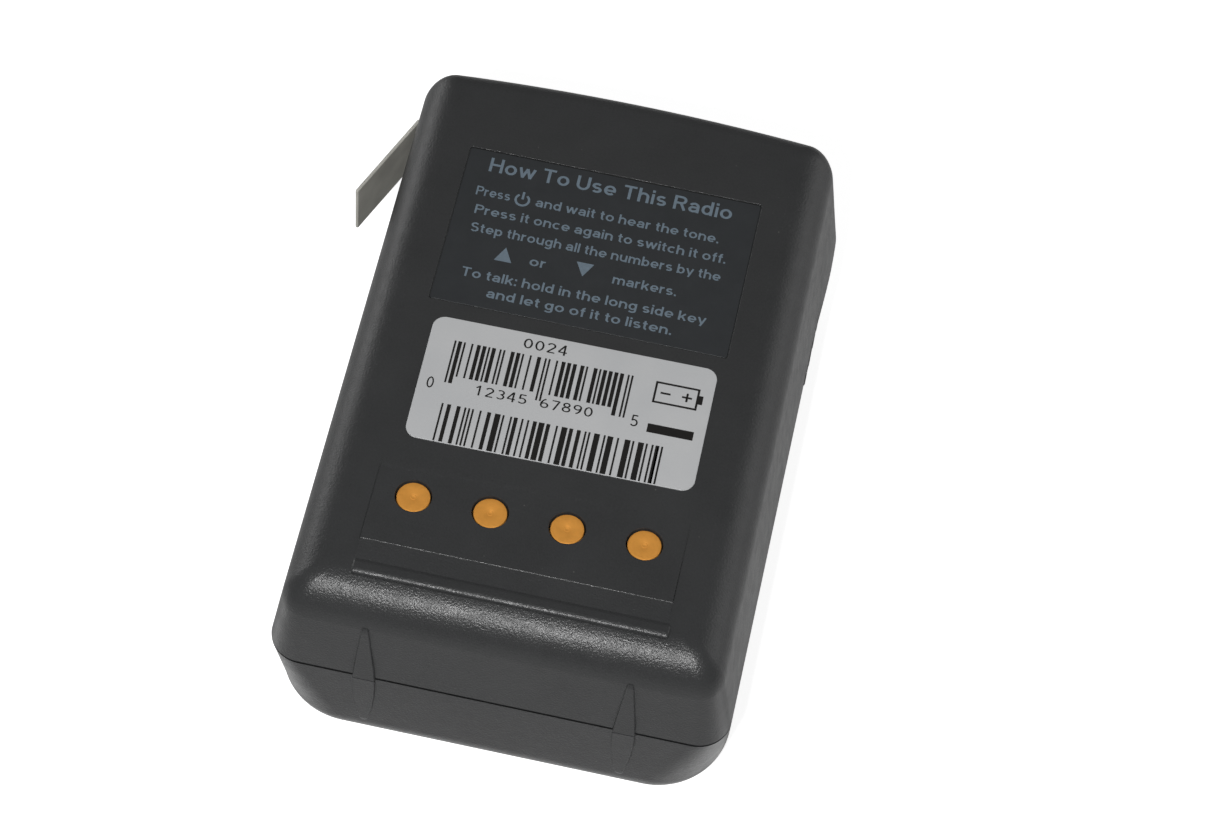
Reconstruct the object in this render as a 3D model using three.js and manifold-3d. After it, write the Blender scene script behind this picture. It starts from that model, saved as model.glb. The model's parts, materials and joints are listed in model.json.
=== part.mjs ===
// Handheld two way radio, lying on its front face with its back up. Millimetres.
// +Z points out of the back, +Y to the top end of the radio, and X runs across its width.
// The origin is on the front face, at the middle of the body.
import * as THREE from "three";
import { mergeVertices } from "three/addons/utils/BufferGeometryUtils.js";
import Module from "manifold-3d";

const wasm = await Module();
wasm.setup();

// Driving dimensions of the case.
const WIDTH = 64;
const LENGTH = 92.8;
const DEPTH = 37.5;
const PARTING = 19.7; // height of the line where the two shells meet
const WALL = 2;
const TOP_BOW = 1.27; // the top end is this much further out at its middle than at its corners
const GAP = 0.3; // clearance between neighbours

// Outer surface of the two shells.
const REAR_DRAFT = { side: 0.146, low: 0.046, high: 0.082 };
const FRONT_DRAFT = { side: 0.014, low: 0.011, high: 0.011 };
const REAR_ROLL = { side: 5, low: 6, high: 3 };
const FRONT_ROLL = 6.5;
const PARTING_CORNER = 4.6;
const FRONT_CORNER = 10.2;
// The right wall swells gently at the upper end of the side key, on both sides of the parting line.
const SWELL = { proud: 0.42, y: 34, reach: 13, rise: 12, corner: 1.4 };
const SWELL_STATIONS = [0.78, 0.83, 0.88, 0.94];

// Back face.
const PANEL = { x: 0, y: 17.4, width: 42.1, height: 26.3, depth: 0.35 };
const STICKER = { x: 0.52, y: -8.35, width: 40, height: 20, thick: 0.15, turn: 0.52, corner: 1.8 };
const CONTACT_AREA = { high: -23.75, ramp: -22.4, crest: -35.45, foot: -38.6, width: 42.6, step: 0.3 };
const CONTACT_ROW = { y: -27.4, pitch: 10.58, radius: 2.25, sunk: 0.4 };
const RIDGE = { x: 0.2, low: -40.9, crest: -40, high: -38.45, length: 43, height: 0.5 };
const RIB = { x: 18.05, width: 3.2, tip: 0.9, proud: 0.5, top: 32.2, bottom: 6.8 };

// Front face.
const DISPLAY = { y: 25, width: 26, height: 16 };
const KEY = { y: 6, width: 9.4, height: 5.4, pitch: 15, sunk: 0.4, top: 9 };
const SPEAKER = { y: -22, radius: 14 };
const MICROPHONE = { x: -21, y: -3 };
const STATUS = { x: 22.5, y: 18 };

// Sides.
const PTT = { y: 26.5, z: 13, length: 18.5, height: 8.2, proud: 0.25 };
const COVER = { x: -30.3, y: 37.5, length: 15.4, thick: 0.5, low: 22.2, high: 31.5, open: 22 };
const JACKS = [
  { name: "microphone_jack", y: 33, bore: 1.25, body: 2.5 },
  { name: "speaker_jack", y: 26, bore: 1.75, body: 3 },
];
const JACK_Z = 27;

// Inside.
const SCREWS = [
  { x: -18.4, y: 16.5 },
  { x: 18.4, y: 16.5 },
  { x: -17, y: -15 },
  { x: 17, y: -15 },
];
const BOSS_RADIUS = 2.4;
const HEAD_SEAT = 23;
const BOARD = { z: 11, thick: 1.2, width: 52, length: 82 };
const BOARD_TOP = BOARD.z + BOARD.thick;
const CELL = { radius: 5.1, pitch: 10.4, length: 43.5, low: -11.8, z: 27.4 };

const COLOURS = {
  shell: [0x37393b, 0.55, 0],
  rubber: [0x6b6a65, 0.75, 0],
  dark: [0x232426, 0.7, 0],
  label: [0x2b2e31, 0.6, 0],
  paper: [0xdfe0e0, 0.5, 0],
  gold: [0xe0a040, 0.3, 1],
  steel: [0xa8abad, 0.35, 1],
  board: [0x1f5a38, 0.5, 0],
  glass: [0x55605a, 0.1, 0],
  sleeve: [0x3c6ea8, 0.45, 0],
  copper: [0xb87333, 0.35, 1],
  foam: [0x30302e, 0.95, 0],
  cone: [0x4a463f, 0.8, 0],
};

const radio = new THREE.Group();
const materials = {};
for (const [name, [color, roughness, metalness]] of Object.entries(COLOURS)) {
  materials[name] = new THREE.MeshStandardMaterial({ color, roughness, metalness });
}

// A three.js geometry as a manifold solid.
function solid(geometry) {
  const bare = geometry.clone();
  bare.deleteAttribute("normal");
  bare.deleteAttribute("uv");
  const merged = mergeVertices(bare, 1e-4);
  return new wasm.Manifold(
    new wasm.Mesh({
      numProp: 3,
      vertProperties: new Float32Array(merged.attributes.position.array),
      triVerts: new Uint32Array(merged.index.array),
    }),
  );
}

// A manifold solid as a three.js geometry.
function geometryOf(body) {
  const mesh = body.getMesh();
  const geometry = new THREE.BufferGeometry();
  geometry.setAttribute("position", new THREE.BufferAttribute(mesh.vertProperties, 3));
  geometry.setIndex(new THREE.BufferAttribute(mesh.triVerts, 1));
  geometry.computeVertexNormals();
  return geometry;
}

function add(name, shape, material) {
  const geometry = shape.isBufferGeometry ? shape : geometryOf(shape);
  const mesh = new THREE.Mesh(geometry, materials[material]);
  mesh.name = name;
  radio.add(mesh);
  return mesh;
}

// A box from its lowest to its highest corner.
function block(x0, x1, y0, y1, z0, z1) {
  const box = new THREE.BoxGeometry(x1 - x0, y1 - y0, z1 - z0);
  return solid(box.translate((x0 + x1) / 2, (y0 + y1) / 2, (z0 + z1) / 2));
}

// An upright disc or rod from z0 to z1.
function post(x, y, z0, z1, radius, sides = 16) {
  const rod = new THREE.CylinderGeometry(radius, radius, z1 - z0, sides);
  return solid(rod.rotateX(Math.PI / 2).translate(x, y, (z0 + z1) / 2));
}

// A rod along X from x0 to x1.
function crossRod(y, z, x0, x1, radius, sides = 16) {
  const rod = new THREE.CylinderGeometry(radius, radius, x1 - x0, sides);
  return solid(rod.rotateZ(Math.PI / 2).translate((x0 + x1) / 2, y, z));
}

// A turned shape: the profile lists [radius, z] from the axis back to the axis.
function turned(profile, x, y, sides = 20) {
  const points = profile.map(([radius, z]) => new THREE.Vector2(radius, z));
  return solid(new THREE.LatheGeometry(points, sides).rotateX(Math.PI / 2).translate(x, y, 0));
}

// A plate with rounded corners, centred on x and y.
function plate(x, y, width, height, corner, z0, z1, turn = 0) {
  const shape = new THREE.Shape();
  const w = width / 2;
  const h = height / 2;
  shape.absarc(w - corner, h - corner, corner, 0, Math.PI / 2);
  shape.absarc(corner - w, h - corner, corner, Math.PI / 2, Math.PI);
  shape.absarc(corner - w, corner - h, corner, Math.PI, Math.PI * 1.5);
  shape.absarc(w - corner, corner - h, corner, Math.PI * 1.5, Math.PI * 2);
  const slab = new THREE.ExtrudeGeometry(shape, {
    depth: z1 - z0,
    bevelEnabled: false,
    curveSegments: 3,
  });
  slab.rotateZ(THREE.MathUtils.degToRad(turn));
  return solid(slab.translate(x, y, z0));
}

// A round wire through a list of points.
function wire(points, radius, steps, sides = 6) {
  const path = new THREE.CatmullRomCurve3(points.map((p) => new THREE.Vector3(...p)));
  const section = new THREE.Shape();
  section.absarc(0, 0, radius, 0, Math.PI * 2);
  return new THREE.ExtrudeGeometry(section, {
    steps,
    extrudePath: path,
    bevelEnabled: false,
    curveSegments: sides,
  });
}

// A prism along X whose section is a list of [y, z] points.
function bar(section, x0, x1) {
  const shape = new THREE.Shape(section.map(([y, z]) => new THREE.Vector2(y, z)));
  const prism = new THREE.ExtrudeGeometry(shape, { depth: x1 - x0, bevelEnabled: false });
  return solid(prism.rotateY(Math.PI / 2).rotateX(Math.PI / 2).translate(x0, 0, 0));
}

// How far a rolled edge of the given radius draws in, this far past its start.
function rollInset(radius, past) {
  if (past <= 0) return 0;
  const reach = Math.min(past, radius);
  return radius - Math.sqrt(radius * radius - reach * reach);
}

// Outline of the case at height z, drawn in by the given thickness.
function caseOutline(z, thickness) {
  const rear = z >= PARTING;
  const rise = Math.abs(z - PARTING);
  const draft = rear ? REAR_DRAFT : FRONT_DRAFT;
  const inset = {};
  for (const edge of ["side", "low", "high"]) {
    const outerRoll = rear ? REAR_ROLL[edge] : FRONT_ROLL;
    const roll = Math.max(outerRoll - thickness, 1);
    const reach = rear ? DEPTH - thickness - roll : thickness + roll;
    const past = rear ? z - reach : reach - z;
    inset[edge] = rise * draft[edge] + rollInset(roll, past) + thickness;
  }
  const growth = rear ? 0 : Math.min(rise / (PARTING - FRONT_ROLL), 1);
  const corner = PARTING_CORNER + (FRONT_CORNER - PARTING_CORNER) * growth;
  return {
    z,
    half: WIDTH / 2 - inset.side,
    low: -LENGTH / 2 + inset.low,
    high: LENGTH / 2 - TOP_BOW - inset.high,
    corner: Math.max(corner - 0.6 * inset.side, 1.5),
  };
}

// How much of its swell the right wall has at a point, from 0 to 1.
function swellShare(y, z) {
  const along = Math.min(Math.abs(y - SWELL.y) / SWELL.reach, 1);
  const above = Math.min(Math.abs(z - PARTING) / SWELL.rise, 1);
  return (Math.cos((Math.PI / 2) * along) * Math.cos((Math.PI / 2) * above)) ** 2;
}

// Points of one outline: four round corners, a bowed top end and a swelling right side.
function outlinePoints({ z, half, low, high, corner }, steps = 5) {
  const upper = corner + SWELL.corner * swellShare(SWELL.y, z);
  const corners = [
    [half - corner, low + corner, corner, -90],
    [half - upper, high - upper, upper, 0],
    [corner - half, high - corner, corner, 90],
    [corner - half, low + corner, corner, 180],
  ];
  const points = [];
  for (const [cx, cy, radius, start] of corners) {
    for (let i = 0; i <= steps; i++) {
      const angle = THREE.MathUtils.degToRad(start + (90 * i) / steps);
      points.push([cx + radius * Math.cos(angle), cy + radius * Math.sin(angle)]);
    }
    if (start === -90) {
      const side = high - upper - cy;
      for (const share of SWELL_STATIONS) points.push([half, cy + share * side]);
    }
    if (start === 0) {
      for (const share of [0.6, 0.2, -0.2, -0.6]) points.push([share * (half - corner), high]);
    }
  }
  return points.map(([x, y]) => {
    const bow = y > 0 ? TOP_BOW * (1 - (x / half) ** 2) * Math.min(y / high, 1) : 0;
    const swell = x > 0 ? SWELL.proud * swellShare(y, z) * (x / half) ** 4 : 0;
    return new THREE.Vector3(x + swell, y + bow, z);
  });
}

// A closed solid through rings of points that run the same way round, lowest ring first.
function loft(rings) {
  const count = rings[0].length;
  const positions = rings.flat().flatMap((p) => [p.x, p.y, p.z]);
  const faces = [];
  for (let level = 0; level + 1 < rings.length; level++) {
    for (let i = 0; i < count; i++) {
      const a = level * count + i;
      const b = level * count + ((i + 1) % count);
      faces.push(a, b, b + count, a, b + count, a + count);
    }
  }
  const last = (rings.length - 1) * count;
  for (let i = 1; i + 1 < count; i++) {
    faces.push(0, i + 1, i);
    faces.push(last, last + i, last + i + 1);
  }
  const geometry = new THREE.BufferGeometry();
  geometry.setAttribute("position", new THREE.Float32BufferAttribute(positions, 3));
  geometry.setIndex(faces);
  return solid(geometry);
}

function caseSolid(heights, thickness) {
  return loft(heights.map((z) => outlinePoints(caseOutline(z, thickness))));
}

// Heights through a rolled edge that starts at z and ends at z + reach.
function rollHeights(z, reach, steps = 5) {
  const heights = [];
  for (let i = 0; i <= steps; i++) heights.push(z + reach * Math.sin((Math.PI / 2) * (i / steps)));
  return heights;
}

// Half of an alignment rib on the bottom end, from the parting line to its tip. It tapers
// evenly on the rear shell and bulges on the front shell.
function ribHalf(x, tip) {
  const rings = [];
  const levels = 6;
  const taper = tip > PARTING ? 1.1 : 2.4;
  for (let i = 0; i <= levels; i++) {
    const share = i / levels;
    const z = PARTING + (tip - PARTING) * share;
    const half = (RIB.width - (RIB.width - RIB.tip) * share ** taper) / 2;
    const wall = caseOutline(z, 0).low;
    const out = wall - RIB.proud * (1 - 0.5 * share);
    rings.push([
      new THREE.Vector3(x - half, wall + 1, z),
      new THREE.Vector3(x - half, wall, z),
      new THREE.Vector3(x - half * 0.55, out, z),
      new THREE.Vector3(x + half * 0.55, out, z),
      new THREE.Vector3(x + half, wall, z),
      new THREE.Vector3(x + half, wall + 1, z),
    ]);
  }
  return loft(tip > PARTING ? rings : rings.reverse());
}

// The pocket in the left wall that the accessory cover closes into, and the pad behind it.
const POCKET_FLOOR = COVER.x + COVER.thick / 2 + 0.35;
const POCKET_END = COVER.y - COVER.length - 0.7;

function pocketPad() {
  const pad = 2.4;
  return block(-WIDTH / 2, POCKET_FLOOR + pad, POCKET_END - 2, 41, PARTING, 34.2);
}

function pocketCut() {
  return block(-WIDTH, POCKET_FLOOR, POCKET_END, COVER.y + 1.1, COVER.low - 0.4, COVER.high + 0.4);
}

function contactX(index) {
  return (index - 1.5) * CONTACT_ROW.pitch;
}

function rearShell() {
  const heights = [PARTING, ...rollHeights(DEPTH - REAR_ROLL.low, REAR_ROLL.low)];
  const outer = caseSolid(heights, 0);
  const inside = DEPTH - WALL;
  const room = caseSolid([PARTING - 1, 26, ...rollHeights(inside - 4, 4, 4)], WALL);
  const bosses = SCREWS.map(({ x, y }) => post(x, y, PARTING + GAP, DEPTH - 1, BOSS_RADIUS, 12));
  const stiffener = block(-21, 21, -32, -23, DEPTH - 4, DEPTH - 1);
  let shell = outer.subtract(room.subtract(pocketPad()));
  for (const boss of bosses) shell = shell.add(boss);
  shell = shell.add(stiffener).add(ridge()).subtract(pocketCut());
  for (const side of [-1, 1]) {
    shell = shell.add(ribHalf(side * RIB.x, RIB.top)).add(tongue(side));
  }
  shell = shell.subtract(plate(PANEL.x, PANEL.y, PANEL.width + 0.3, PANEL.height + 0.3, 0.6,
    DEPTH - PANEL.depth, DEPTH + 1));
  shell = contactPad(shell);
  for (const { x, y } of SCREWS) {
    shell = shell.subtract(post(x, y, HEAD_SEAT, DEPTH + 1, 2.1, 12));
    shell = shell.subtract(post(x, y, PARTING - 1, HEAD_SEAT + 1, 1.1, 8));
  }
  for (const { y, body } of JACKS) {
    shell = shell.subtract(crossRod(y, JACK_Z, -WIDTH / 2, -24, body + GAP));
  }
  add("rear_shell", shell, "shell");
}

// Two tongues at the top end reach down behind the wall of the front shell.
function tongue(side) {
  const x = side * 12;
  const root = block(x - 4, x + 4, 41.4, 45, PARTING + GAP, PARTING + 4);
  return root.add(block(x - 4, x + 4, 41.4, 43, PARTING - 3, PARTING + 1));
}

// A low bar across the back, just above the rolled bottom edge. Its lower side is the steep one.
function ridge() {
  const { x, low, crest, high, length, height } = RIDGE;
  const root = DEPTH - 1;
  const section = [
    [low, root],
    [high, root],
    [high, DEPTH],
    [crest + 0.3, DEPTH + height - 0.04],
    [crest, DEPTH + height],
    [crest - 0.3, DEPTH + height - 0.1],
    [low, DEPTH - 0.2],
  ];
  return bar(section, x - length / 2, x + length / 2);
}

// The contact area leans: its upper half is let into the back, and its lower half stands proud
// of it up to a crest, from which a slope runs down to the ridge.
function contactPad(shell) {
  const { high, ramp, crest, foot, width, step } = CONTACT_AREA;
  const middle = (high + crest) / 2;
  const half = width / 2;
  const rise = [
    [middle, DEPTH - 1],
    [middle, DEPTH],
    [crest, DEPTH + step],
    [foot, DEPTH],
    [foot, DEPTH - 1],
  ];
  const sink = [
    [middle, DEPTH],
    [high, DEPTH - step],
    [ramp, DEPTH],
    [ramp, DEPTH + 1],
    [middle, DEPTH + 1],
  ];
  let body = shell.add(bar(rise, -half, half)).subtract(bar(sink, -half, half));
  for (let i = 0; i < 4; i++) {
    const x = contactX(i);
    body = body.subtract(post(x, CONTACT_ROW.y, DEPTH - 1.8, DEPTH + 1, CONTACT_ROW.radius + GAP, 24));
    body = body.subtract(post(x, CONTACT_ROW.y, DEPTH - 5, DEPTH, 1.4, 12));
  }
  return body;
}

function frontShell() {
  const heights = [...rollHeights(FRONT_ROLL, -FRONT_ROLL).reverse(), 13, PARTING - 0.1];
  const outer = caseSolid(heights, 0);
  const room = caseSolid([...rollHeights(WALL + 4.5, -4.5, 4).reverse(), 13, PARTING + 0.5], WALL);
  let shell = outer.subtract(room);
  for (const { x, y } of SCREWS) {
    shell = shell.add(post(x, y, WALL - 0.5, PARTING - 0.1, BOSS_RADIUS, 12));
    shell = shell.subtract(post(x, y, 8.5, PARTING + 1, 1.1, 8));
  }
  for (const side of [-1, 1]) {
    shell = shell.add(ribHalf(side * RIB.x, RIB.bottom).subtract(
      block(-WIDTH, WIDTH, -LENGTH, 0, PARTING - 0.1, PARTING + 1)));
  }
  shell = shell.subtract(plate(0, DISPLAY.y, DISPLAY.width + 0.6, DISPLAY.height + 0.6, 1.8, -1, 3));
  for (const slot of [-1, 0, 1]) {
    const x = slot * KEY.pitch;
    shell = shell.subtract(plate(x, KEY.y, KEY.width + 0.6, KEY.height + 0.6, 2.2, -1, 3));
  }
  for (let row = -3; row <= 3; row++) {
    const y = row * 3.2;
    const width = 2 * Math.sqrt((SPEAKER.radius - 2) ** 2 - y * y);
    shell = shell.subtract(plate(0, SPEAKER.y + y, width, 1.5, 0.7, -1, 3));
  }
  shell = shell.subtract(post(MICROPHONE.x, MICROPHONE.y, -1, 3, 0.6, 8));
  shell = shell.subtract(post(STATUS.x, STATUS.y, -1, 3, 1.3, 12));
  const slack = 0.4;
  shell = shell.subtract(block(WIDTH / 2 - 5, WIDTH,
    PTT.y - PTT.length / 2 - slack, PTT.y + PTT.length / 2 + slack,
    PTT.z - PTT.height / 2 - slack, PTT.z + PTT.height / 2 + slack));
  add("front_shell", shell, "shell");
}

function labels() {
  const floor = DEPTH - PANEL.depth + 0.05;
  add("instruction_label",
    plate(PANEL.x, PANEL.y, PANEL.width, PANEL.height, 0.4, floor, floor + 0.2), "label");
  const { x, y, width, height, corner, thick, turn } = STICKER;
  add("barcode_label",
    plate(x, y, width, height, corner, DEPTH + 0.03, DEPTH + 0.03 + thick, turn), "paper");
}

// Gold studs sunk in the contact area, on a small board behind the wall.
function chargeContacts() {
  const { y, radius, sunk } = CONTACT_ROW;
  const top = DEPTH - sunk;
  for (let i = 0; i < 4; i++) {
    const profile = [
      [0, DEPTH - 4.5],
      [1.1, DEPTH - 4.5],
      [1.1, DEPTH - 1.5],
      [radius, DEPTH - 1.5],
      [radius, top - 0.1],
      [radius - 0.1, top],
      [0.45, top],
      [0, top - 0.15],
    ];
    add("charge_contact_" + (i + 1), turned(profile, contactX(i), y, 24), "gold");
  }
  add("contact_board", plate(0, y, 40, 8, 0.5, DEPTH - 6, DEPTH - 4.8), "board");
  add("charge_lead", wire([[-14, y, 31], [-14, y - 0.5, 26], [-14, y - 2, 21], [-14, y - 2, 17.2]],
    0.9, 10), "dark");
  add("charge_plug", block(-17, -11, y - 4.2, y + 0.2, BOARD_TOP + GAP, 16.8), "paper");
}

function screws() {
  SCREWS.forEach(({ x, y }, i) => {
    const profile = [
      [0, 10],
      [0.8, 10.6],
      [0.8, HEAD_SEAT + GAP],
      [1.8, HEAD_SEAT + GAP],
      [1.8, HEAD_SEAT + 1.2],
      [1.3, HEAD_SEAT + 1.7],
      [0, HEAD_SEAT + 1.7],
    ];
    let screw = turned(profile, x, y, 12);
    for (const turn of [0, 1]) {
      const long = turn ? 0.25 : 1;
      const wide = turn ? 1 : 0.25;
      screw = screw.subtract(block(x - long, x + long, y - wide, y + wide,
        HEAD_SEAT + 1, HEAD_SEAT + 2));
    }
    add("case_screw_" + (i + 1), screw, "steel");
  });
}

function accessoryCover() {
  const { x, y, length, thick, low, high, open } = COVER;
  const soft = 0.12; // chamfer of the free end
  const shape = new THREE.Shape();
  shape.absarc(0, 0, thick / 2, 0, Math.PI);
  shape.lineTo(-thick / 2, -length + soft);
  shape.lineTo(-thick / 2 + soft, -length);
  shape.lineTo(thick / 2 - soft, -length);
  shape.lineTo(thick / 2, -length + soft);
  const strap = new THREE.ExtrudeGeometry(shape, {
    depth: high - low,
    bevelEnabled: false,
    curveSegments: 8,
  });
  const mesh = add("accessory_cover", strap, "rubber");
  mesh.position.set(x, y, low);
  mesh.rotation.z = -THREE.MathUtils.degToRad(open);
}

function jacks() {
  for (const { name, y, bore, body } of JACKS) {
    const outside = POCKET_FLOOR + 0.3;
    const inside = -19;
    const barrel = crossRod(y, JACK_Z, outside, inside, body, 20);
    add(name, barrel.subtract(crossRod(y, JACK_Z, outside - 1, inside - 1.5, bore, 16)), "dark");
  }
}

// The push to talk button in the right wall, with a flange that keeps it in, and its switch.
function pushToTalk() {
  const face = WIDTH / 2 - 0.1 + PTT.proud;
  const inner = WIDTH / 2 - WALL - 0.7;
  const { y, z, length, height } = PTT;
  const rounding = 1.2;
  const outline = new THREE.Shape();
  const a = length / 2;
  const b = height / 2;
  outline.absarc(a - rounding, b - rounding, rounding, 0, Math.PI / 2);
  outline.absarc(rounding - a, b - rounding, rounding, Math.PI / 2, Math.PI);
  outline.absarc(rounding - a, rounding - b, rounding, Math.PI, Math.PI * 1.5);
  outline.absarc(a - rounding, rounding - b, rounding, Math.PI * 1.5, Math.PI * 2);
  const cap = new THREE.ExtrudeGeometry(outline, {
    depth: face - inner - 0.4,
    bevelEnabled: true,
    bevelThickness: 0.4,
    bevelSize: 0.4,
    bevelOffset: -0.4,
    bevelSegments: 2,
    curveSegments: 4,
  });
  cap.rotateX(Math.PI / 2).rotateZ(Math.PI / 2).translate(inner, y, z);
  const flange = block(inner - 1.1, inner + 0.2, y - a - 1.2, y + a + 1.2, z - b - 1, z + b + 1);
  add("ptt_button", solid(cap).add(flange), "dark");
  const plunger = crossRod(y, 14.3, 25, 27, 1);
  add("ptt_switch", block(22, 25.8, y - 3, y + 3, BOARD_TOP + GAP, 16).add(plunger), "steel");
}

function display() {
  const { y, width, height } = DISPLAY;
  add("display_window", plate(0, y, width, height, 1.5, 0.5, 1.9), "glass");
  add("lcd_panel", block(-14, 14, y - 9, y + 9, WALL + GAP, 4), "glass");
  add("lcd_backlight", block(-14, 14, y - 9, y + 9, 4.3, 6), "paper");
  const frame = block(-15.6, 15.6, y - 10.6, y + 10.6, WALL + GAP, BOARD.z - GAP);
  const pocket = block(-14.3, 14.3, y - 9.3, y + 9.3, 0, 6.3);
  add("lcd_frame", frame.subtract(pocket), "dark");
}

// Three keys with flanges behind the front wall, and the dome switches that they press.
function keys() {
  const names = ["power_key", "channel_down_key", "channel_up_key"];
  names.forEach((name, i) => {
    const x = (i - 1) * KEY.pitch;
    const cap = plate(x, KEY.y, KEY.width, KEY.height, 1.9, KEY.sunk, 2.6);
    const flange = plate(x, KEY.y, KEY.width + 2, KEY.height + 2, 2.2, WALL + GAP, 3.2);
    add(name, cap.add(flange).add(post(x, KEY.y, 3, KEY.top, 1.5, 12)), "dark");
    const dome = [
      [0, BOARD.z - 1.2],
      [1.2, BOARD.z - 1.1],
      [2.4, BOARD.z - 0.6],
      [2.6, BOARD.z - GAP],
      [0, BOARD.z - GAP],
    ];
    add("key_dome_" + (i + 1), turned(dome, x, KEY.y, 16), "steel");
  });
}

function speaker() {
  const { y, radius } = SPEAKER;
  add("speaker_cloth", post(0, y, WALL + 0.1, WALL + 0.6, radius - 0.4, 32), "foam");
  const basket = [
    [radius - 1.5, 3],
    [radius, 3],
    [radius, 4],
    [8.5, 7.2],
    [5.5, 7.2],
    [5.5, 6.4],
    [8.2, 6.4],
    [radius - 1.5, 4.2],
    [radius - 1.5, 3],
  ];
  add("speaker_frame", turned(basket, 0, y, 32), "steel");
  const cone = [
    [0, 4.6],
    [3.2, 5],
    [radius - 2, 3.4],
    [radius - 2, 3.8],
    [5, 5.7],
    [0, 5.7],
  ];
  add("speaker_cone", turned(cone, 0, y, 32), "cone");
  add("speaker_magnet", post(0, y, 7.5, 10.4, 6.5, 24), "steel");
}

function microphone() {
  const { x, y } = MICROPHONE;
  const boot = post(x, y, WALL + GAP, 6.4, 3, 16).subtract(post(x, y, 3.2, 8, 2.2, 16))
    .subtract(post(x, y, 0, 5, 0.6, 8));
  add("microphone_boot", boot, "dark");
  add("microphone", post(x, y, 3.5, 6, 1.9, 16), "steel");
}

function statusLight() {
  const { x, y } = STATUS;
  add("light_pipe", turned([[0, 0.4], [1, 0.5], [1, 8.8], [0, 8.8]], x, y, 12), "glass");
  add("status_led", block(x - 1, x + 1, y - 1, y + 1, 9.2, BOARD.z - 0.2), "paper");
}

function mainBoard() {
  const { width, length, z } = BOARD;
  let board = plate(0, 0, width, length, 3, z, BOARD_TOP);
  for (const { x, y } of SCREWS) board = board.subtract(post(x, y, 0, 20, BOSS_RADIUS + GAP));
  add("main_board", board, "board");
  const lid = BOARD_TOP + GAP;
  const can = block(-6, 18, -4, 12, lid, 16).subtract(block(-5.7, 17.7, -3.7, 11.7, 0, 15.7));
  add("rf_shield", can, "steel");
  add("processor", block(-17, -8, -4, 5, lid, 13.8), "dark");
  add("battery_plug", block(-4, 4, -22, -17, lid, 17), "paper");
}

// A wound wire antenna lies across the top end, with its foot on the board.
function antenna() {
  const turns = 9;
  const steps = turns * 7;
  const coil = { x: -18, length: 32, y: 37.5, z: 16.6, radius: 2.6, wire: 0.4 };
  const points = [[coil.x - 3, coil.y, 13.2]];
  for (let i = 0; i <= steps; i++) {
    const angle = (i / steps) * turns * Math.PI * 2;
    points.push([
      coil.x + (coil.length * i) / steps,
      coil.y + coil.radius * Math.sin(angle),
      coil.z - coil.radius * Math.cos(angle),
    ]);
  }
  add("antenna_coil", wire(points, coil.wire, steps + 8, 3), "copper");
}

// Three cells side by side in a cradle, with welded links, a foam pad and a lead to the board.
function battery() {
  const { radius, pitch, length, low, z } = CELL;
  const high = low + length;
  let cradle = block(-15.4, 15.4, low + 2, high - 2, PARTING + 1, 24);
  [-1, 0, 1].forEach((slot, i) => {
    const x = slot * pitch;
    const cell = new THREE.CylinderGeometry(radius, radius, length, 20).translate(x, low + length / 2, z);
    const cap = new THREE.CylinderGeometry(1.8, 1.8, 1, 12);
    const end = slot === 0 ? low - 0.3 : high + 0.3;
    add("battery_cell_" + (i + 1), solid(cell).add(solid(cap.translate(x, end, z))), "sleeve");
    const seat = new THREE.CylinderGeometry(radius + GAP, radius + GAP, length, 20);
    cradle = cradle.subtract(solid(seat.translate(x, low + length / 2, z)));
  });
  add("battery_cradle", cradle, "dark");
  add("battery_link_1", block(-12.5, 2.5, high + 1.1, high + 1.3, z - 2.5, z + 2.5), "steel");
  add("battery_link_2", block(-2.5, 12.5, low - 1.3, low - 1.1, z - 2.5, z + 2.5), "steel");
  add("battery_foam", block(-14, 14, low + 4, high - 4, z + radius + GAP, DEPTH - WALL - GAP), "foam");
  const lead = [[0, low - 2.4, z], [0, -17, z - 1], [0, -19, 22], [0, -19.5, 17.4]];
  add("battery_lead", wire(lead, 0.9, 12), "dark");
}

rearShell();
frontShell();
labels();
chargeContacts();
screws();
accessoryCover();
jacks();
pushToTalk();
display();
keys();
speaker();
microphone();
statusLight();
mainBoard();
antenna();
battery();

export default radio;
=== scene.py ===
"""Looks of the two way radio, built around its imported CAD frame. Sizes are in millimetres."""
import json
import math
import random

import bmesh
import bpy
from mathutils import Matrix, Vector


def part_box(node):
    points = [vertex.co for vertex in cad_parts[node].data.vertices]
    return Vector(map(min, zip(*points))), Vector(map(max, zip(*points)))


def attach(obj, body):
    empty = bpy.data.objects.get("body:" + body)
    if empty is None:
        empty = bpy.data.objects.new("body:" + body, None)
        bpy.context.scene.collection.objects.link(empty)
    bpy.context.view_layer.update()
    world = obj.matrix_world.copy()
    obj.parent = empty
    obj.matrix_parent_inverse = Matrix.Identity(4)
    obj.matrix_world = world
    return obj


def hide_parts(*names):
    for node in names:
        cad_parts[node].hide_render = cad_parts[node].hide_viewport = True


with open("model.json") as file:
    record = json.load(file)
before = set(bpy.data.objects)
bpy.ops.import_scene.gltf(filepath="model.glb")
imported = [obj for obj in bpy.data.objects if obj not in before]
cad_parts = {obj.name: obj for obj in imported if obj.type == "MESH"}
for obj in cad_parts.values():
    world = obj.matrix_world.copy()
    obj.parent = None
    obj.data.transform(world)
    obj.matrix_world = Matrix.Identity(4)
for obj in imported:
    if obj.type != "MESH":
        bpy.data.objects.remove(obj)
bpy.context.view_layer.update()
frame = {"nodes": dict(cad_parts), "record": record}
MM = 0.001

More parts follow.
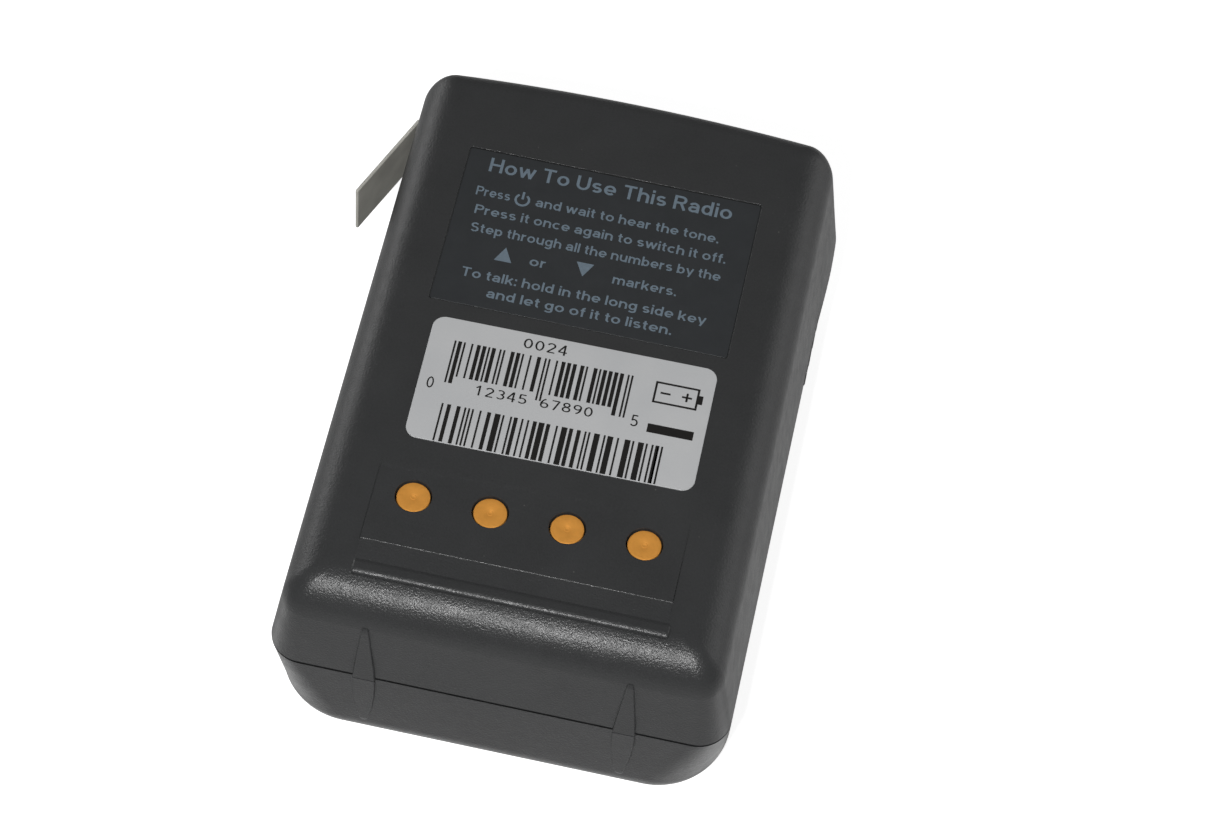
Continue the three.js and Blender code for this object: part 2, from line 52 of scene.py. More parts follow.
# The case, as in the CAD model.
WIDTH = 64
LENGTH = 92.8
DEPTH = 37.5
PARTING = 19.7
WALL = 2
TOP_SHOULDER = 1.27
TOP_BOW = 1.233
REAR_DRAFT = {"side": 0.146, "low": 0.046, "high": 0.082}
FRONT_DRAFT = {"side": 0.014, "low": 0.011, "high": 0.011}
REAR_ROLL = {"side": 5, "low": 6, "high": 3}
FRONT_ROLL = 6.5
INNER_ROLL = 1
PARTING_CORNER = 4.6
FRONT_CORNER = 10.2
INNER_CORNER = 1.5
CORNER_SHRINK = 0.6  # how much a corner tightens as the side draws in
SEAM = 0.2  # height of the groove on each side of the parting line
SEAM_DEPTH = 0.5
SEAM_FALL = 0.45  # how far the groove's floor falls towards the inside

# The right wall swells gently at the upper end of the side key.
SWELL = {"proud": 0.42, "y": 34, "reach": 13, "rise": 12, "corner": 1.4}

# Fineness of round shapes.
CORNER_STEPS = 20
ROLL_STEPS = 18
INNER_ROLL_STEPS = 6
WALL_STEPS = 5
ROUND_SIDES = 64
HOLE_SIDES = 32
POST_SIDES = 24
SMALLEST_CORNER = 0.02
SHARP_ANGLE = 32


# --- mesh helpers


def scaled(x, y, z):
    return Vector((x, y, z)) * MM


def new_object(name, data):
    obj = bpy.data.objects.new(name, data)
    bpy.context.scene.collection.objects.link(obj)
    return obj


def from_bmesh(name, bm, recalculate=True):
    if recalculate:
        bmesh.ops.recalc_face_normals(bm, faces=bm.faces)
    mesh = bpy.data.meshes.new(name)
    bm.to_mesh(mesh)
    bm.free()
    return new_object(name, mesh)


def bridged_rows(bm, rings):
    """Corners for closed rings of points, with faces between each ring and the next."""
    rows = [[bm.verts.new(scaled(*p)) for p in ring] for ring in rings]
    count = len(rings[0])
    for low, high in zip(rows, rows[1:]):
        for i in range(count):
            j = (i + 1) % count
            bm.faces.new((low[i], low[j], high[j], high[i]))
    return rows


def loft(name, rings):
    """A closed body through rings of points that all run the same way round."""
    bm = bmesh.new()
    rows = bridged_rows(bm, rings)
    bm.faces.new(list(reversed(rows[0])))
    bm.faces.new(rows[-1])
    return from_bmesh(name, bm)


def oval_arc(cx, cy, rx, ry, start, sweep, steps):
    """Points along part of an ellipse, both ends included. Angles are in degrees."""
    points = []
    for i in range(steps + 1):
        angle = math.radians(start + sweep * i / steps)
        points.append((cx + rx * math.cos(angle), cy + ry * math.sin(angle)))
    return points


def arc(cx, cy, radius, start, sweep, steps):
    return oval_arc(cx, cy, radius, radius, start, sweep, steps)


def circle(cx, cy, radius, sides):
    return arc(cx, cy, radius, 0, 360 * (sides - 1) / sides, sides - 1)


def lifted(outline, z):
    """An outline of (x, y) points, placed at a height."""
    return [(x, y, z) for x, y in outline]


def round_rectangle(width, height, corner, steps=6):
    w, h = width / 2 - corner, height / 2 - corner
    points = []
    for cx, cy, start in ((w, -h, -90), (w, h, 0), (-w, h, 90), (-w, -h, 180)):
        points += arc(cx, cy, corner, start, 90, steps)
    return points


def turned(point, centre, degrees):
    angle = math.radians(degrees)
    x, y = point
    return (
        centre[0] + x * math.cos(angle) - y * math.sin(angle),
        centre[1] + x * math.sin(angle) + y * math.cos(angle),
    )


def plate(name, centre, width, height, corner, levels, turn=0, steps=6):
    """A plate with round corners. levels lists (z, grow): how much the outline grows at z."""
    rings = []
    for z, grow in levels:
        radius = max(corner + grow, SMALLEST_CORNER)
        outline = round_rectangle(width + 2 * grow, height + 2 * grow, radius, steps)
        rings.append(lifted([turned(p, centre, turn) for p in outline], z))
    return loft(name, rings)


def slab(name, x, y, z):
    """A box from its (low, high) pairs."""
    rings = [[(x[0], y[0], h), (x[1], y[0], h), (x[1], y[1], h), (x[0], y[1], h)] for h in z]
    return loft(name, rings)


def prism_x(name, profile, x0, x1):
    """A prism along X through a profile of (y, z) points."""
    return loft(name, [[(x, y, z) for y, z in profile] for x in (x0, x1)])


def lathe(name, x, y, profile, sides=ROUND_SIDES):
    """A turned body from a profile of (radius, z) points with both ends on the axis."""
    bm = bmesh.new()
    rows = bridged_rows(bm, [lifted(circle(x, y, radius, sides), z) for radius, z in profile[1:-1]])
    for row, (_, z) in ((rows[0], profile[0]), (rows[-1], profile[-1])):
        tip = bm.verts.new(scaled(x, y, z))
        for i in range(sides):
            bm.faces.new((row[i], row[(i + 1) % sides], tip))
    return from_bmesh(name, bm)


def post(name, place, radius, z0, z1, sides=POST_SIDES):
    """An upright cylinder at an (x, y) place."""
    return lathe(name, *place, [(0, z0), (radius, z0), (radius, z1), (0, z1)], sides)


def rod_x(name, y, z, x0, x1, radius):
    return prism_x(name, circle(y, z, radius, HOLE_SIDES), x0, x1)


def joined(name, objects):
    """One object from several. Their meshes don't touch."""
    bm = bmesh.new()
    for obj in objects:
        bm.from_mesh(obj.data)
        bpy.data.objects.remove(obj)
    return from_bmesh(name, bm, recalculate=False)


def bake_modifiers(obj):
    evaluated = obj.evaluated_get(bpy.context.evaluated_depsgraph_get())
    mesh = bpy.data.meshes.new_from_object(evaluated)
    obj.modifiers.clear()
    old = obj.data
    obj.data = mesh
    bpy.data.meshes.remove(old)


def boolean(target, operation, tools):
    """Cuts target with, or joins it to, tools that don't touch each other."""
    tool = joined("tool", tools)
    modifier = target.modifiers.new("boolean", "BOOLEAN")
    modifier.solver = "EXACT"
    modifier.operation = operation
    modifier.object = tool
    bake_modifiers(target)
    bpy.data.objects.remove(tool)


def cut(target, *tools):
    boolean(target, "DIFFERENCE", tools)


def fuse(target, *tools):
    boolean(target, "UNION", tools)


def smooth(obj):
    """Smooth shading that keeps real edges sharp and broad faces flat."""
    obj.data.shade_smooth()
    obj.data.set_sharp_from_angle(angle=math.radians(SHARP_ANGLE))
    modifier = obj.modifiers.new("normals", "WEIGHTED_NORMAL")
    modifier.keep_sharp = True
    bake_modifiers(obj)


def finish(obj, material, slot, *replaced, body="root"):
    """Gives a piece its material and body; the slot is not used. One that replaces CAD nodes is
    smoothed too.
    """
    if replaced:
        smooth(obj)
    obj.data.materials.clear()
    obj.data.materials.append(material)
    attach(obj, body)
    if replaced:
        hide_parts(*replaced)


# --- materials


class Nodes:
    """A short way to write a node material. Texture coordinates are object millimetres."""

    def __init__(self, name):
        self.material = bpy.data.materials.new(name)
        self.material.use_nodes = True
        self.tree = self.material.node_tree
        self.shader = self.tree.nodes["Principled BSDF"]
        metres = self.add("TexCoord", "Object")
        self.place = self.add("Mapping", "Vector", metres, Scale=(1 / MM, 1 / MM, 1 / MM))

    def feed(self, socket, value):
        """Gives an input a number, a colour, or what another node puts out."""
        if isinstance(value, bpy.types.NodeSocket):
            self.tree.links.new(value, socket)
        else:
            socket.default_value = (*value, 1) if socket.type == "RGBA" else value

    def add(self, kind, output, *values, operation=None, **named):
        """Adds a node, fills its inputs by order and by name, and gives one output."""
        node = self.tree.nodes.new("ShaderNode" + kind)
        if operation:
            node.operation = operation
        for socket, value in zip(node.inputs, values):
            self.feed(socket, value)
        for name, value in named.items():
            self.feed(node.inputs[name.replace("_", " ")], value)
        return node.outputs[output]

    def noise(self, scale, detail=2, roughness=0.5, stretch=None):
        place = self.add("Mapping", "Vector", self.place, Scale=stretch) if stretch else self.place
        return self.add("TexNoise", "Fac", place, Scale=scale, Detail=detail, Roughness=roughness)

    def cells(self, scale):
        return self.add("TexVoronoi", "Distance", self.place, Scale=scale)

    def spread(self, value, from_low=0.3, from_high=0.7, to_low=0, to_high=1):
        """A value's span mapped to another span. The usual one is where noise mostly lies."""
        return self.add("MapRange", "Result", value, from_low, from_high, to_low, to_high)

    def combined(self, a, b, operation="MULTIPLY"):
        return self.add("Math", "Value", a, b, operation=operation)

    def mix(self, share, dark, light):
        """A colour between two colours, or between a colour and another mix."""
        node = self.tree.nodes.new("ShaderNodeMix")
        node.data_type = "RGBA"
        for i, value in ((0, share), (6, dark), (7, light)):
            self.feed(node.inputs[i], value)
        return node.outputs[2]

    def set(self, **values):
        for name, value in values.items():
            self.feed(self.shader.inputs[name.replace("_", " ")], value)

    def colour(self, value):
        self.set(Base_Color=value)

    def roughness(self, value, low, high, span=(0.3, 0.7)):
        self.set(Roughness=self.spread(value, *span, low, high))

    def bump(self, height, depth):
        """Bump of the given depth in millimetres."""
        self.set(Normal=self.add("Bump", "Normal", Height=height, Distance=depth * MM))


def shade(colour, factor):
    return tuple(min(c * factor, 1) for c in colour)


def case_plastic():
    """Charcoal moulded plastic with a spark-eroded grain and a few specks of dust."""
    n = Nodes("case_plastic")
    base = (0.0435, 0.0445, 0.0455)
    cloud = n.spread(n.noise(0.12, 3))
    fine = n.spread(n.noise(3.2), 0.35, 0.65)
    tone = n.mix(cloud, shade(base, 0.93), shade(base, 1.07))
    tone = n.mix(n.combined(fine, 0.25), tone, shade(base, 1.35))
    dust = n.combined(n.spread(n.cells(0.42), 0.035, 0.05, 1, 0), n.spread(cloud, 0.5, 0.8, 0, 0.7))
    n.colour(n.mix(dust, tone, (0.16, 0.16, 0.15)))
    n.roughness(n.noise(0.5, 3), 0.28, 0.36)
    grain = n.combined(n.noise(3.4), n.combined(n.noise(8.0), 0.35), "ADD")
    n.bump(grain, 0.064)
    n.set(IOR=1.47)
    return n.material


def mottled(name, tones, patches, rough, low, high, grain, depth, **values):
    """A soft mottling of two tones, with a roughness that varies and a fine grain."""
    n = Nodes(name)
    n.colour(n.mix(n.spread(n.noise(*patches)), *tones))
    n.roughness(n.noise(*rough), low, high)
    n.bump(n.noise(*grain), depth)
    n.set(**values)
    return n.material


def tones(colour, dark, light):
    return shade(colour, dark), shade(colour, light)


def film_plastic():
    """The printed film in the back: smoother than the case and a little bluer."""
    both = tones((0.036, 0.039, 0.042), 0.94, 1.06)
    return mottled("label_film", both, (0.3, 3), (1.5,), 0.42, 0.5, (6,), 0.006)


def ink(name, colour, rough=0.55):
    both = tones(colour, 0.9, 1.08)
    return mottled(name, both, (1.6, 4, 0.7), (4,), rough - 0.05, rough + 0.08, (9,), 0.003)


def sticker_paper():
    n = Nodes("sticker_paper")
    cloud = n.spread(n.noise(0.12, 4))
    fibre = n.spread(n.noise(5, 4, stretch=(1, 2.2, 1)), 0.35, 0.65)
    tone = n.mix(cloud, (0.60, 0.61, 0.62), (0.65, 0.655, 0.66))
    n.colour(n.mix(n.combined(fibre, 0.15), tone, (0.53, 0.54, 0.55)))
    n.roughness(n.noise(3), 0.45, 0.6)
    n.bump(fibre, 0.003)
    return n.material


def contact_gold():
    """Gold plating, dulled and mottled by use."""
    n = Nodes("contact_gold")
    wear = n.spread(n.noise(1.1, 4, 0.6), 0.35, 0.7)
    n.colour(n.mix(wear, (1.0, 0.455, 0.082), (0.92, 0.41, 0.072)))
    n.roughness(n.noise(6, 3), 0.54, 0.64)
    n.bump(n.noise(12), 0.004)
    n.set(Metallic=0.45)
    return n.material


def soft_rubber(name, colour, rough=0.7, depth=0.012):
    both = tones(colour, 0.88, 1.12)
    return mottled(name, both, (0.25, 4), (2, 3), rough - 0.07, rough + 0.07, (5, 3), depth)


def metal(name, colour, roughness=0.32, stretch=(1, 8, 1)):
    n = Nodes(name)
    brush = n.spread(n.noise(3, 3, stretch=stretch))
    n.colour(n.mix(brush, shade(colour, 0.85), shade(colour, 1.1)))
    n.roughness(brush, roughness - 0.08, roughness + 0.1, (0, 1))
    n.bump(brush, 0.003)
    n.set(Metallic=1.0)
    return n.material


def circuit_board(name):
    """Green solder mask over faint copper tracks."""
    n = Nodes(name)
    tracks = n.spread(n.noise(0.9, 1, stretch=(1, 4, 1)), 0.49, 0.51)
    fine = n.spread(n.noise(5), 0.3, 0.7, 0, 0.3)
    tone = n.mix(tracks, (0.008, 0.075, 0.03), (0.014, 0.13, 0.05))
    n.colour(n.mix(fine, tone, (0.02, 0.16, 0.07)))
    n.roughness(n.noise(3), 0.25, 0.4)
    n.bump(tracks, 0.03)
    return n.material


def smoked_window():
    """Smoked window plastic, nearly black over the display."""
    both = ((0.010, 0.012, 0.012), (0.016, 0.018, 0.018))
    return mottled("window_plastic", both, (0.4, 3), (2, 3), 0.06, 0.14, (0.6, 1), 0.004,
                   Coat_Weight=0.5)


def felt(name):
    n = Nodes(name)
    weave = n.spread(n.cells(3.2), 0.0, 0.6)
    n.colour(n.mix(weave, (0.012, 0.012, 0.013), (0.03, 0.03, 0.032)))
    n.roughness(weave, 0.8, 0.95, (0, 1))
    n.bump(weave, 0.08)
    n.set(Sheen_Weight=0.3)
    return n.material


def pulp(name):
    n = Nodes(name)
    fibre = n.spread(n.noise(2.4, 5, 0.7))
    n.colour(n.mix(fibre, (0.05, 0.045, 0.035), (0.09, 0.08, 0.06)))
    n.roughness(fibre, 0.75, 0.9, (0, 1))
    n.bump(fibre, 0.04)
    return n.material


PLASTIC = case_plastic()
FILM = film_plastic()
PRINT = ink("blue_grey_ink", (0.178, 0.232, 0.283))
BLACK_INK = ink("black_ink", (0.012, 0.011, 0.010), 0.45)
PAPER = sticker_paper()
GOLD = contact_gold()
COVER = soft_rubber("cover_rubber", (0.61, 0.60, 0.545))
KEY = soft_rubber("key_rubber", (0.024, 0.025, 0.027), 0.6, 0.02)
SIDE_KEY = soft_rubber("side_key_rubber", (0.045, 0.046, 0.048), 0.5, 0.02)
WINDOW = smoked_window()
WHITE_INK = ink("white_ink", (0.62, 0.63, 0.62))

# Finish of the CAD nodes that are shown as they are, by the record's material slot.
SLOT_FINISH = {
    "screw_steel": (metal, (0.45, 0.45, 0.46)),
    "circuit_board": (circuit_board,),
    "inner_plastic": (soft_rubber, (0.018, 0.018, 0.019), 0.5, 0.01),
    "connector_plastic": (soft_rubber, (0.62, 0.6, 0.52), 0.4, 0.006),
    "spring_steel": (metal, (0.52, 0.52, 0.5)),
    "boot_rubber": (soft_rubber, (0.02, 0.02, 0.02)),
    "grille_cloth": (felt,),
    "cone_paper": (pulp,),
    "antenna_copper": (metal, (0.5, 0.2, 0.08), 0.3, (8, 1, 1)),
    "cell_sleeve": (soft_rubber, (0.03, 0.09, 0.28), 0.35, 0.004),
}


def finish_cad_nodes():
    """Every CAD node that no finer piece replaces gets its slot's material."""
    made = {slot: maker(slot, *values) for slot, (maker, *values) in SLOT_FINISH.items()}
    made["window_glass"] = WINDOW
    for part in frame["record"]["subparts"]:
        material = made.get(part["material_slot"])
        if material:
            data = frame["nodes"][part["node"]].data
            data.materials.clear()
            data.materials.append(material)


# --- the case


def roll_inset(radius, past):
    """How far a rolled edge draws in, this far past its start."""
    if past <= 0:
        return 0
    reach = min(past, radius)
    return radius - math.sqrt(radius * radius - reach * reach)


def case_outline(z, thickness=0):
    """The case's half width, low end, high end and corner at a height, inside a wall."""
    rear = z >= PARTING
    rise = abs(z - PARTING)
    draft = REAR_DRAFT if rear else FRONT_DRAFT
    inset = {}
    for edge in ("side", "low", "high"):
        roll = max((REAR_ROLL[edge] if rear else FRONT_ROLL) - thickness, INNER_ROLL)
        reach = DEPTH - thickness - roll if rear else thickness + roll
        past = z - reach if rear else reach - z
        inset[edge] = rise * draft[edge] + roll_inset(roll, past) + thickness
    growth = 0 if rear else min(rise / (PARTING - FRONT_ROLL), 1)
    corner = PARTING_CORNER + (FRONT_CORNER - PARTING_CORNER) * growth
    corner = max(corner - CORNER_SHRINK * inset["side"], INNER_CORNER)
    high = LENGTH / 2 - TOP_SHOULDER - inset["high"]
    return WIDTH / 2 - inset["side"], inset["low"] - LENGTH / 2, high, corner


def case_ring(z, thickness=0, inset=0):
    """The case's outline at a height. inset draws it in without moving its roll."""
    half, low, high, corner = case_outline(z, thickness)
    half, low, high, steps = half - inset, low + inset, high - inset, CORNER_STEPS
    upper = corner + SWELL["corner"] * swell_share(SWELL["y"], z)
    points = arc(half - corner, low + corner, corner, -90, 90, steps)
    stations = 2 * steps
    side = high - low - corner - upper
    points += [(half, low + corner + side * i / stations) for i in range(1, stations)]
    points += arc(half - upper, high - upper, upper, 0, 90, steps)
    across = 2 * half - upper - corner
    points += [(half - upper - across * i / steps, high) for i in range(1, steps)]
    points += arc(corner - half, high - corner, corner, 90, 90, steps)
    points += arc(corner - half, low + corner, corner, 180, 90, steps)
    ring = []
    for x, y in points:
        bow = TOP_BOW * (1 - (x / half) ** 2) * min(y / high, 1) if y > 0 else 0
        bulge = SWELL["proud"] * swell_share(y, z) * (x / half) ** 4 if x > 0 else 0
        ring.append((x + bulge, y + bow, z))
    return ring


def roll_heights(start, reach, steps=ROLL_STEPS):
    return [start + reach * math.sin(math.pi / 2 * i / steps) for i in range(steps + 1)]


def wall_heights(start, end):
    return [start + (end - start) * i / WALL_STEPS for i in range(1, WALL_STEPS)]


def swell_share(y, z):
    """How much of the swell is reached at a place on the right wall."""
    along = min(abs(y - SWELL["y"]) / SWELL["reach"], 1)
    above = min(abs(z - PARTING) / SWELL["rise"], 1)
    return (math.cos(math.pi / 2 * along) * math.cos(math.pi / 2 * above)) ** 2


RIB = {"x": 18.05, "width": 3.2, "tip": 0.9, "proud": 0.5, "top": 32.2, "bottom": 6.8}
RIB_LEVELS = 24
RIB_ENDS = {"rear": (0.05, 1.1), "front": (-0.15, 2.4)}  # start past the parting line, taper
RIB_FALL = 0.45  # the share of its height that a rib loses towards its tip
RIB_BLUNT = {"height": 0.4, "narrow": 0.12}  # the last level
RIB_FLANK = [(0, -1), (0, 0), (0.052, 0.75), (0.13, 1)]  # (drawn in, share of the height)


def rib_half(x, tip):
    """Half of an alignment rib, from the parting line to its tip."""
    start, taper = RIB_ENDS["rear" if tip > PARTING else "front"]
    base = PARTING + start
    rings = []
    for i in range(RIB_LEVELS + 1):
        share = i / RIB_LEVELS
        z = base + (tip - base) * share
        half = (RIB["width"] - (RIB["width"] - RIB["tip"]) * share ** taper) / 2
        out = RIB["proud"] * (1 - RIB_FALL * share)
        if i == RIB_LEVELS:
            out *= RIB_BLUNT["height"]
            half -= RIB_BLUNT["narrow"]
        flank = [(half - u, v if v < 0 else v * out) for u, v in RIB_FLANK]
        crown = [(-u, v) for u, v in flank] + flank[::-1]
        wall = case_outline(z)[1]
        rings.append([(x + u, wall - v, z) for u, v in crown])
    return loft("rib", rings)


def ribs(tip):
    return [rib_half(side * RIB["x"], tip) for side in (-1, 1)]


# Back face features.
PANEL = ((0, 17.4), 42.1, 26.3)  # centre, width, height
PANEL_DEPTH = 0.35
PANEL_GAP = {"wall": 0.14, "mouth": 0.17}
PAD = {"crest": -35.45, "high": -23.75, "ramp": -22.4, "foot": -38.6, "half": 21.3}
PAD_STEP = 0.3  # how far the crest stands out
PAD_SINK = 0.2  # how far the upper end leans in
PAD_FACET = {"run": 0.14, "fall": 0.1}
PAD_GROOVE = {"out": 0.04, "half": 0.07, "deep": 0.05}
CONTACTS = {"radius": 2.3, "top": DEPTH - 0.4}
CONTACT_PLACES = [(step * 10.58, -27.4) for step in (-1.5, -0.5, 0.5, 1.5)]
CONTACT_HOLE = {"radius": 2.52, "deep": 1.8, "lip": 0.16, "flare": 0.05, "mouth": 0.02}
RIDGE = {"x": 0.2, "low": -40.85, "crest": -39.95, "high": -38.45, "length": 43, "height": 0.5}
RIDGE_ENDS = [(0, 0.5), (0.1, 0.8), (0.3, 1)]  # (distance from an end, share of the height)
RIDGE_SLOPE = [(0, 0), (0.15, 0.05), (0.55, 0.3), (0.85, 0.4)]  # (distance down, height)
RIDGE_DRAW = 0.25
RIDGE_CREST = (100, 80, 14)  # start, sweep, steps
RIDGE_GROOVE = {"short": 0.2, "y": (-0.12, 0.03), "z": (-0.25, 0.02)}
SCREWS = [(-18.4, 16.5), (18.4, 16.5), (-17, -15), (17, -15)]
SCREW_FIT = {"boss": 2.4, "bore": 1.1, "seat": 2.1, "seat_floor": 23, "bore_floor": 8.5}
OVER = 1  # how far a cutter reaches past what it cuts


def ridge_bar():
    """A low bar with a long upper slope, a broad rounded crest and a steep lower side."""
    low, crest, height = RIDGE["low"], RIDGE["crest"], RIDGE["height"]
    half = RIDGE["length"] / 2
    ends = [(x - half, share) for x, share in RIDGE_ENDS]
    ends += [(-x, share) for x, share in reversed(ends)]
    rings = []
    for x, share in ends:
        draw = RIDGE_DRAW * (1 - share)
        edge = RIDGE["high"] - draw
        profile = [(edge, DEPTH - OVER)]
        profile += [(edge - run, DEPTH + rise * share) for run, rise in RIDGE_SLOPE]
        reach = crest - low - draw
        crown = arc(0, 0, 1, *RIDGE_CREST)
        profile += [(crest + u * reach, DEPTH + height * share * v) for u, v in crown]
        profile += [(low + draw, DEPTH - OVER)]
        rings.append([(RIDGE["x"] + x, y, z) for y, z in profile])
    return loft("ridge_bar", rings)


def ridge_groove():
    """The fine groove along the foot of the ridge's steep side."""
    half = RIDGE["length"] / 2 - RIDGE_GROOVE["short"]
    across = [RIDGE["low"] + y for y in RIDGE_GROOVE["y"]]
    deep = [DEPTH + z for z in RIDGE_GROOVE["z"]]
    return slab("groove", (RIDGE["x"] - half, RIDGE["x"] + half), across, deep)


def pad_rise():
    """The proud lower half of the contact area and the slope down from its crest to the ridge."""
    crest, top = PAD["crest"], DEPTH + PAD_STEP
    middle = (crest + PAD["high"]) / 2
    profile = [(middle + 0.5, DEPTH - OVER), (middle, DEPTH), (crest, top),
               (crest - PAD_FACET["run"], top - PAD_FACET["fall"]),
               (PAD["foot"], DEPTH), (PAD["foot"], DEPTH - OVER)]
    return prism_x("pad_rise", profile, -PAD["half"], PAD["half"])


def pad_sink():
    """What is cut from the upper half of the contact area: a ramp down to its lean."""
    middle = (PAD["crest"] + PAD["high"]) / 2
    profile = [(middle, DEPTH), (PAD["high"], DEPTH - PAD_SINK), (PAD["ramp"], DEPTH),
               (PAD["ramp"] + 0.1, DEPTH + OVER), (middle, DEPTH + OVER)]
    return prism_x("pad_sink", profile, -PAD["half"], PAD["half"])


def pad_grooves():
    """A fine groove down each side of the contact area."""
    grooves = []
    half = PAD_GROOVE["half"]
    deep = (DEPTH - PAD_SINK - PAD_GROOVE["deep"], DEPTH + OVER)
    for side in (-1, 1):
        x = side * (PAD["half"] + PAD_GROOVE["out"])
        grooves.append(slab("groove", (x - half, x + half), (PAD["crest"], PAD["high"]), deep))
    return grooves


def contact_hole(place):
    radius, floor = CONTACT_HOLE["radius"], DEPTH - CONTACT_HOLE["deep"]
    wide = radius + CONTACT_HOLE["flare"]
    profile = [(0, floor), (radius, floor), (radius, DEPTH - CONTACT_HOLE["lip"]),
               (wide, DEPTH - CONTACT_HOLE["mouth"]), (wide, DEPTH + OVER), (0, DEPTH + OVER)]
    return lathe("contact_hole", *place, profile)


def panel_recess():
    floor, wall, mouth = DEPTH - PANEL_DEPTH, PANEL_GAP["wall"], PANEL_GAP["mouth"]
    levels = [(floor, wall), (DEPTH - 0.03, wall), (DEPTH, mouth), (DEPTH + OVER, mouth)]
    return plate("panel_recess", *PANEL, 0.25, levels)


# The jack cover and the pocket that it closes into.
COVER_HINGE = (-30.3, 37.5)
COVER_SIZE = {"length": 15.4, "thick": 0.5, "low": 22.2, "high": 31.5, "open": 22}
COVER_EDGE = 0.2
COVER_BENDS = (0, 0.4, 0.8, 1.2, math.pi / 2)  # angles round the softened edge
COVER_CORNER = 0.22
COVER_STEPS = 12
POCKET_FLOOR = COVER_HINGE[0] + COVER_SIZE["thick"] / 2 + 0.35
POCKET_END = COVER_HINGE[1] - COVER_SIZE["length"] - 0.7
POCKET_START = COVER_HINGE[1] + 1.1
POCKET_GAP = 0.4
JACKS = [(33, 2.5), (26, 3.0)]  # (y, radius)
JACK_Z = 27
JACK_GAP = 0.3

# The inside of the shells.
REAR_ROOM = {"start": 26, "roll": 4}
FRONT_ROOM = {"end": 13, "roll": 4.5}
JACK_WALL = {"thick": 2.4, "y": (POCKET_END - 2, 41), "z": (PARTING - 2, 34.2)}
STIFFENER = ((-21, 21), (-32, -23), (DEPTH - 4, DEPTH - 1))  # x, y, z
TONGUE = {"x": (-12, 12), "half": 4, "back": 41.4, "root": 45, "tip": 43}
SHANK = (1.4, DEPTH - 6)  # radius, floor
LIP = 0.3  # from the parting line to what stands inside the rear shell


def at_screws(fit, z0, z1, sides=POST_SIDES):
    """A post at each screw, with one of the radii in SCREW_FIT."""
    return [post(fit, place, SCREW_FIT[fit], z0, z1, sides) for place in SCREWS]


def tongues(front, low, high):
    y = (TONGUE["back"], front)
    half = TONGUE["half"]
    return [slab("tongue", (x - half, x + half), y, (low, high)) for x in TONGUE["x"]]


def rear_room():
    """The hollow of the rear shell. A thick wall stays behind the pocket of the jack cover."""
    roll = REAR_ROOM["roll"]
    heights = [REAR_ROOM["start"], *roll_heights(DEPTH - WALL - roll, roll, INNER_ROLL_STEPS)]
    mouth = [(x, y, PARTING - OVER) for x, y, _ in case_ring(PARTING, WALL)]
    room = loft("room", [mouth] + [case_ring(z, WALL) for z in heights])
    wall = (-WIDTH, POCKET_FLOOR + JACK_WALL["thick"])
    cut(room, slab("wall", wall, JACK_WALL["y"], JACK_WALL["z"]))
    return room


def rear_shell():
    roll = REAR_ROLL["low"]
    heights = [PARTING + SEAM, *wall_heights(PARTING, DEPTH - roll)]
    heights += roll_heights(DEPTH - roll, roll)
    rings = [case_ring(z, inset=SEAM_DEPTH) for z in (PARTING, PARTING + 0.8 * SEAM)]
    rings += [case_ring(z) for z in heights]
    shell = loft("rear_case", rings)
    cut(shell, rear_room())
    inside = at_screws("boss", PARTING + LIP, DEPTH - 1, HOLE_SIDES)
    inside.append(slab("stiffener", *STIFFENER))
    inside += tongues(TONGUE["root"], PARTING + LIP, PARTING + 4)
    fuse(shell, *inside)
    fuse(shell, *tongues(TONGUE["tip"], PARTING - 3, PARTING + 1))
    fuse(shell, *ribs(RIB["top"]), ridge_bar())
    fuse(shell, pad_rise())
    cut(shell, pad_sink(), panel_recess())
    cut(shell, *pad_grooves(), ridge_groove())
    cut(shell, *rear_openings())
    cut(shell, *rear_bores())
    finish(shell, PLASTIC, "shell_plastic", "rear_shell")


def rear_openings():
    """Cutters for the contacts' holes, the pocket of the jack cover and the screw heads."""
    cuts = [contact_hole(place) for place in CONTACT_PLACES]
    pocket = (COVER_SIZE["low"] - POCKET_GAP, COVER_SIZE["high"] + POCKET_GAP)
    cuts.append(slab("pocket", (-WIDTH, POCKET_FLOOR), (POCKET_END, POCKET_START), pocket))
    return cuts + at_screws("seat", SCREW_FIT["seat_floor"], DEPTH + OVER, HOLE_SIDES)


def rear_bores():
    """Cutters for the jacks, the contacts' shanks and the screws."""
    cuts = [rod_x("jack_hole", y, JACK_Z, -WIDTH / 2, -24, radius + JACK_GAP)
            for y, radius in JACKS]
    cuts += [post("shank", place, *SHANK, DEPTH) for place in CONTACT_PLACES]
    return cuts + at_screws("bore", PARTING - OVER, SCREW_FIT["seat_floor"] + OVER)


# Front face features.
DISPLAY = ((0, 25), 26, 16)  # centre, width, height
KEYS = {"power_key": -15, "channel_down_key": 0, "channel_up_key": 15}
KEY_Y = 6
KEY_SIZE = (9.4, 5.4)
SLOTS = {"y": -22, "radius": 12, "rows": 3, "pitch": 3.2, "width": 1.5, "corner": 0.74}
FRONT_HOLES = [((-21, -3), 0.6), ((22.5, 18), 1.3)]  # the microphone and the status light
PTT = {"y": 26.5, "z": 13, "length": 18.5, "height": 8.2}
PTT_FACE = WIDTH / 2 + 0.03  # the crests of its bars
PTT_GAP = 0.2


def front_opening(centre, width, height, corner, gap=0.3, chamfer=0.35):
    """A cutter through the front wall with a small chamfer at its mouth."""
    levels = [(-OVER, chamfer), (0, chamfer), (chamfer, 0), (WALL + OVER, 0)]
    return plate("opening", centre, width + 2 * gap, height + 2 * gap, corner, levels)


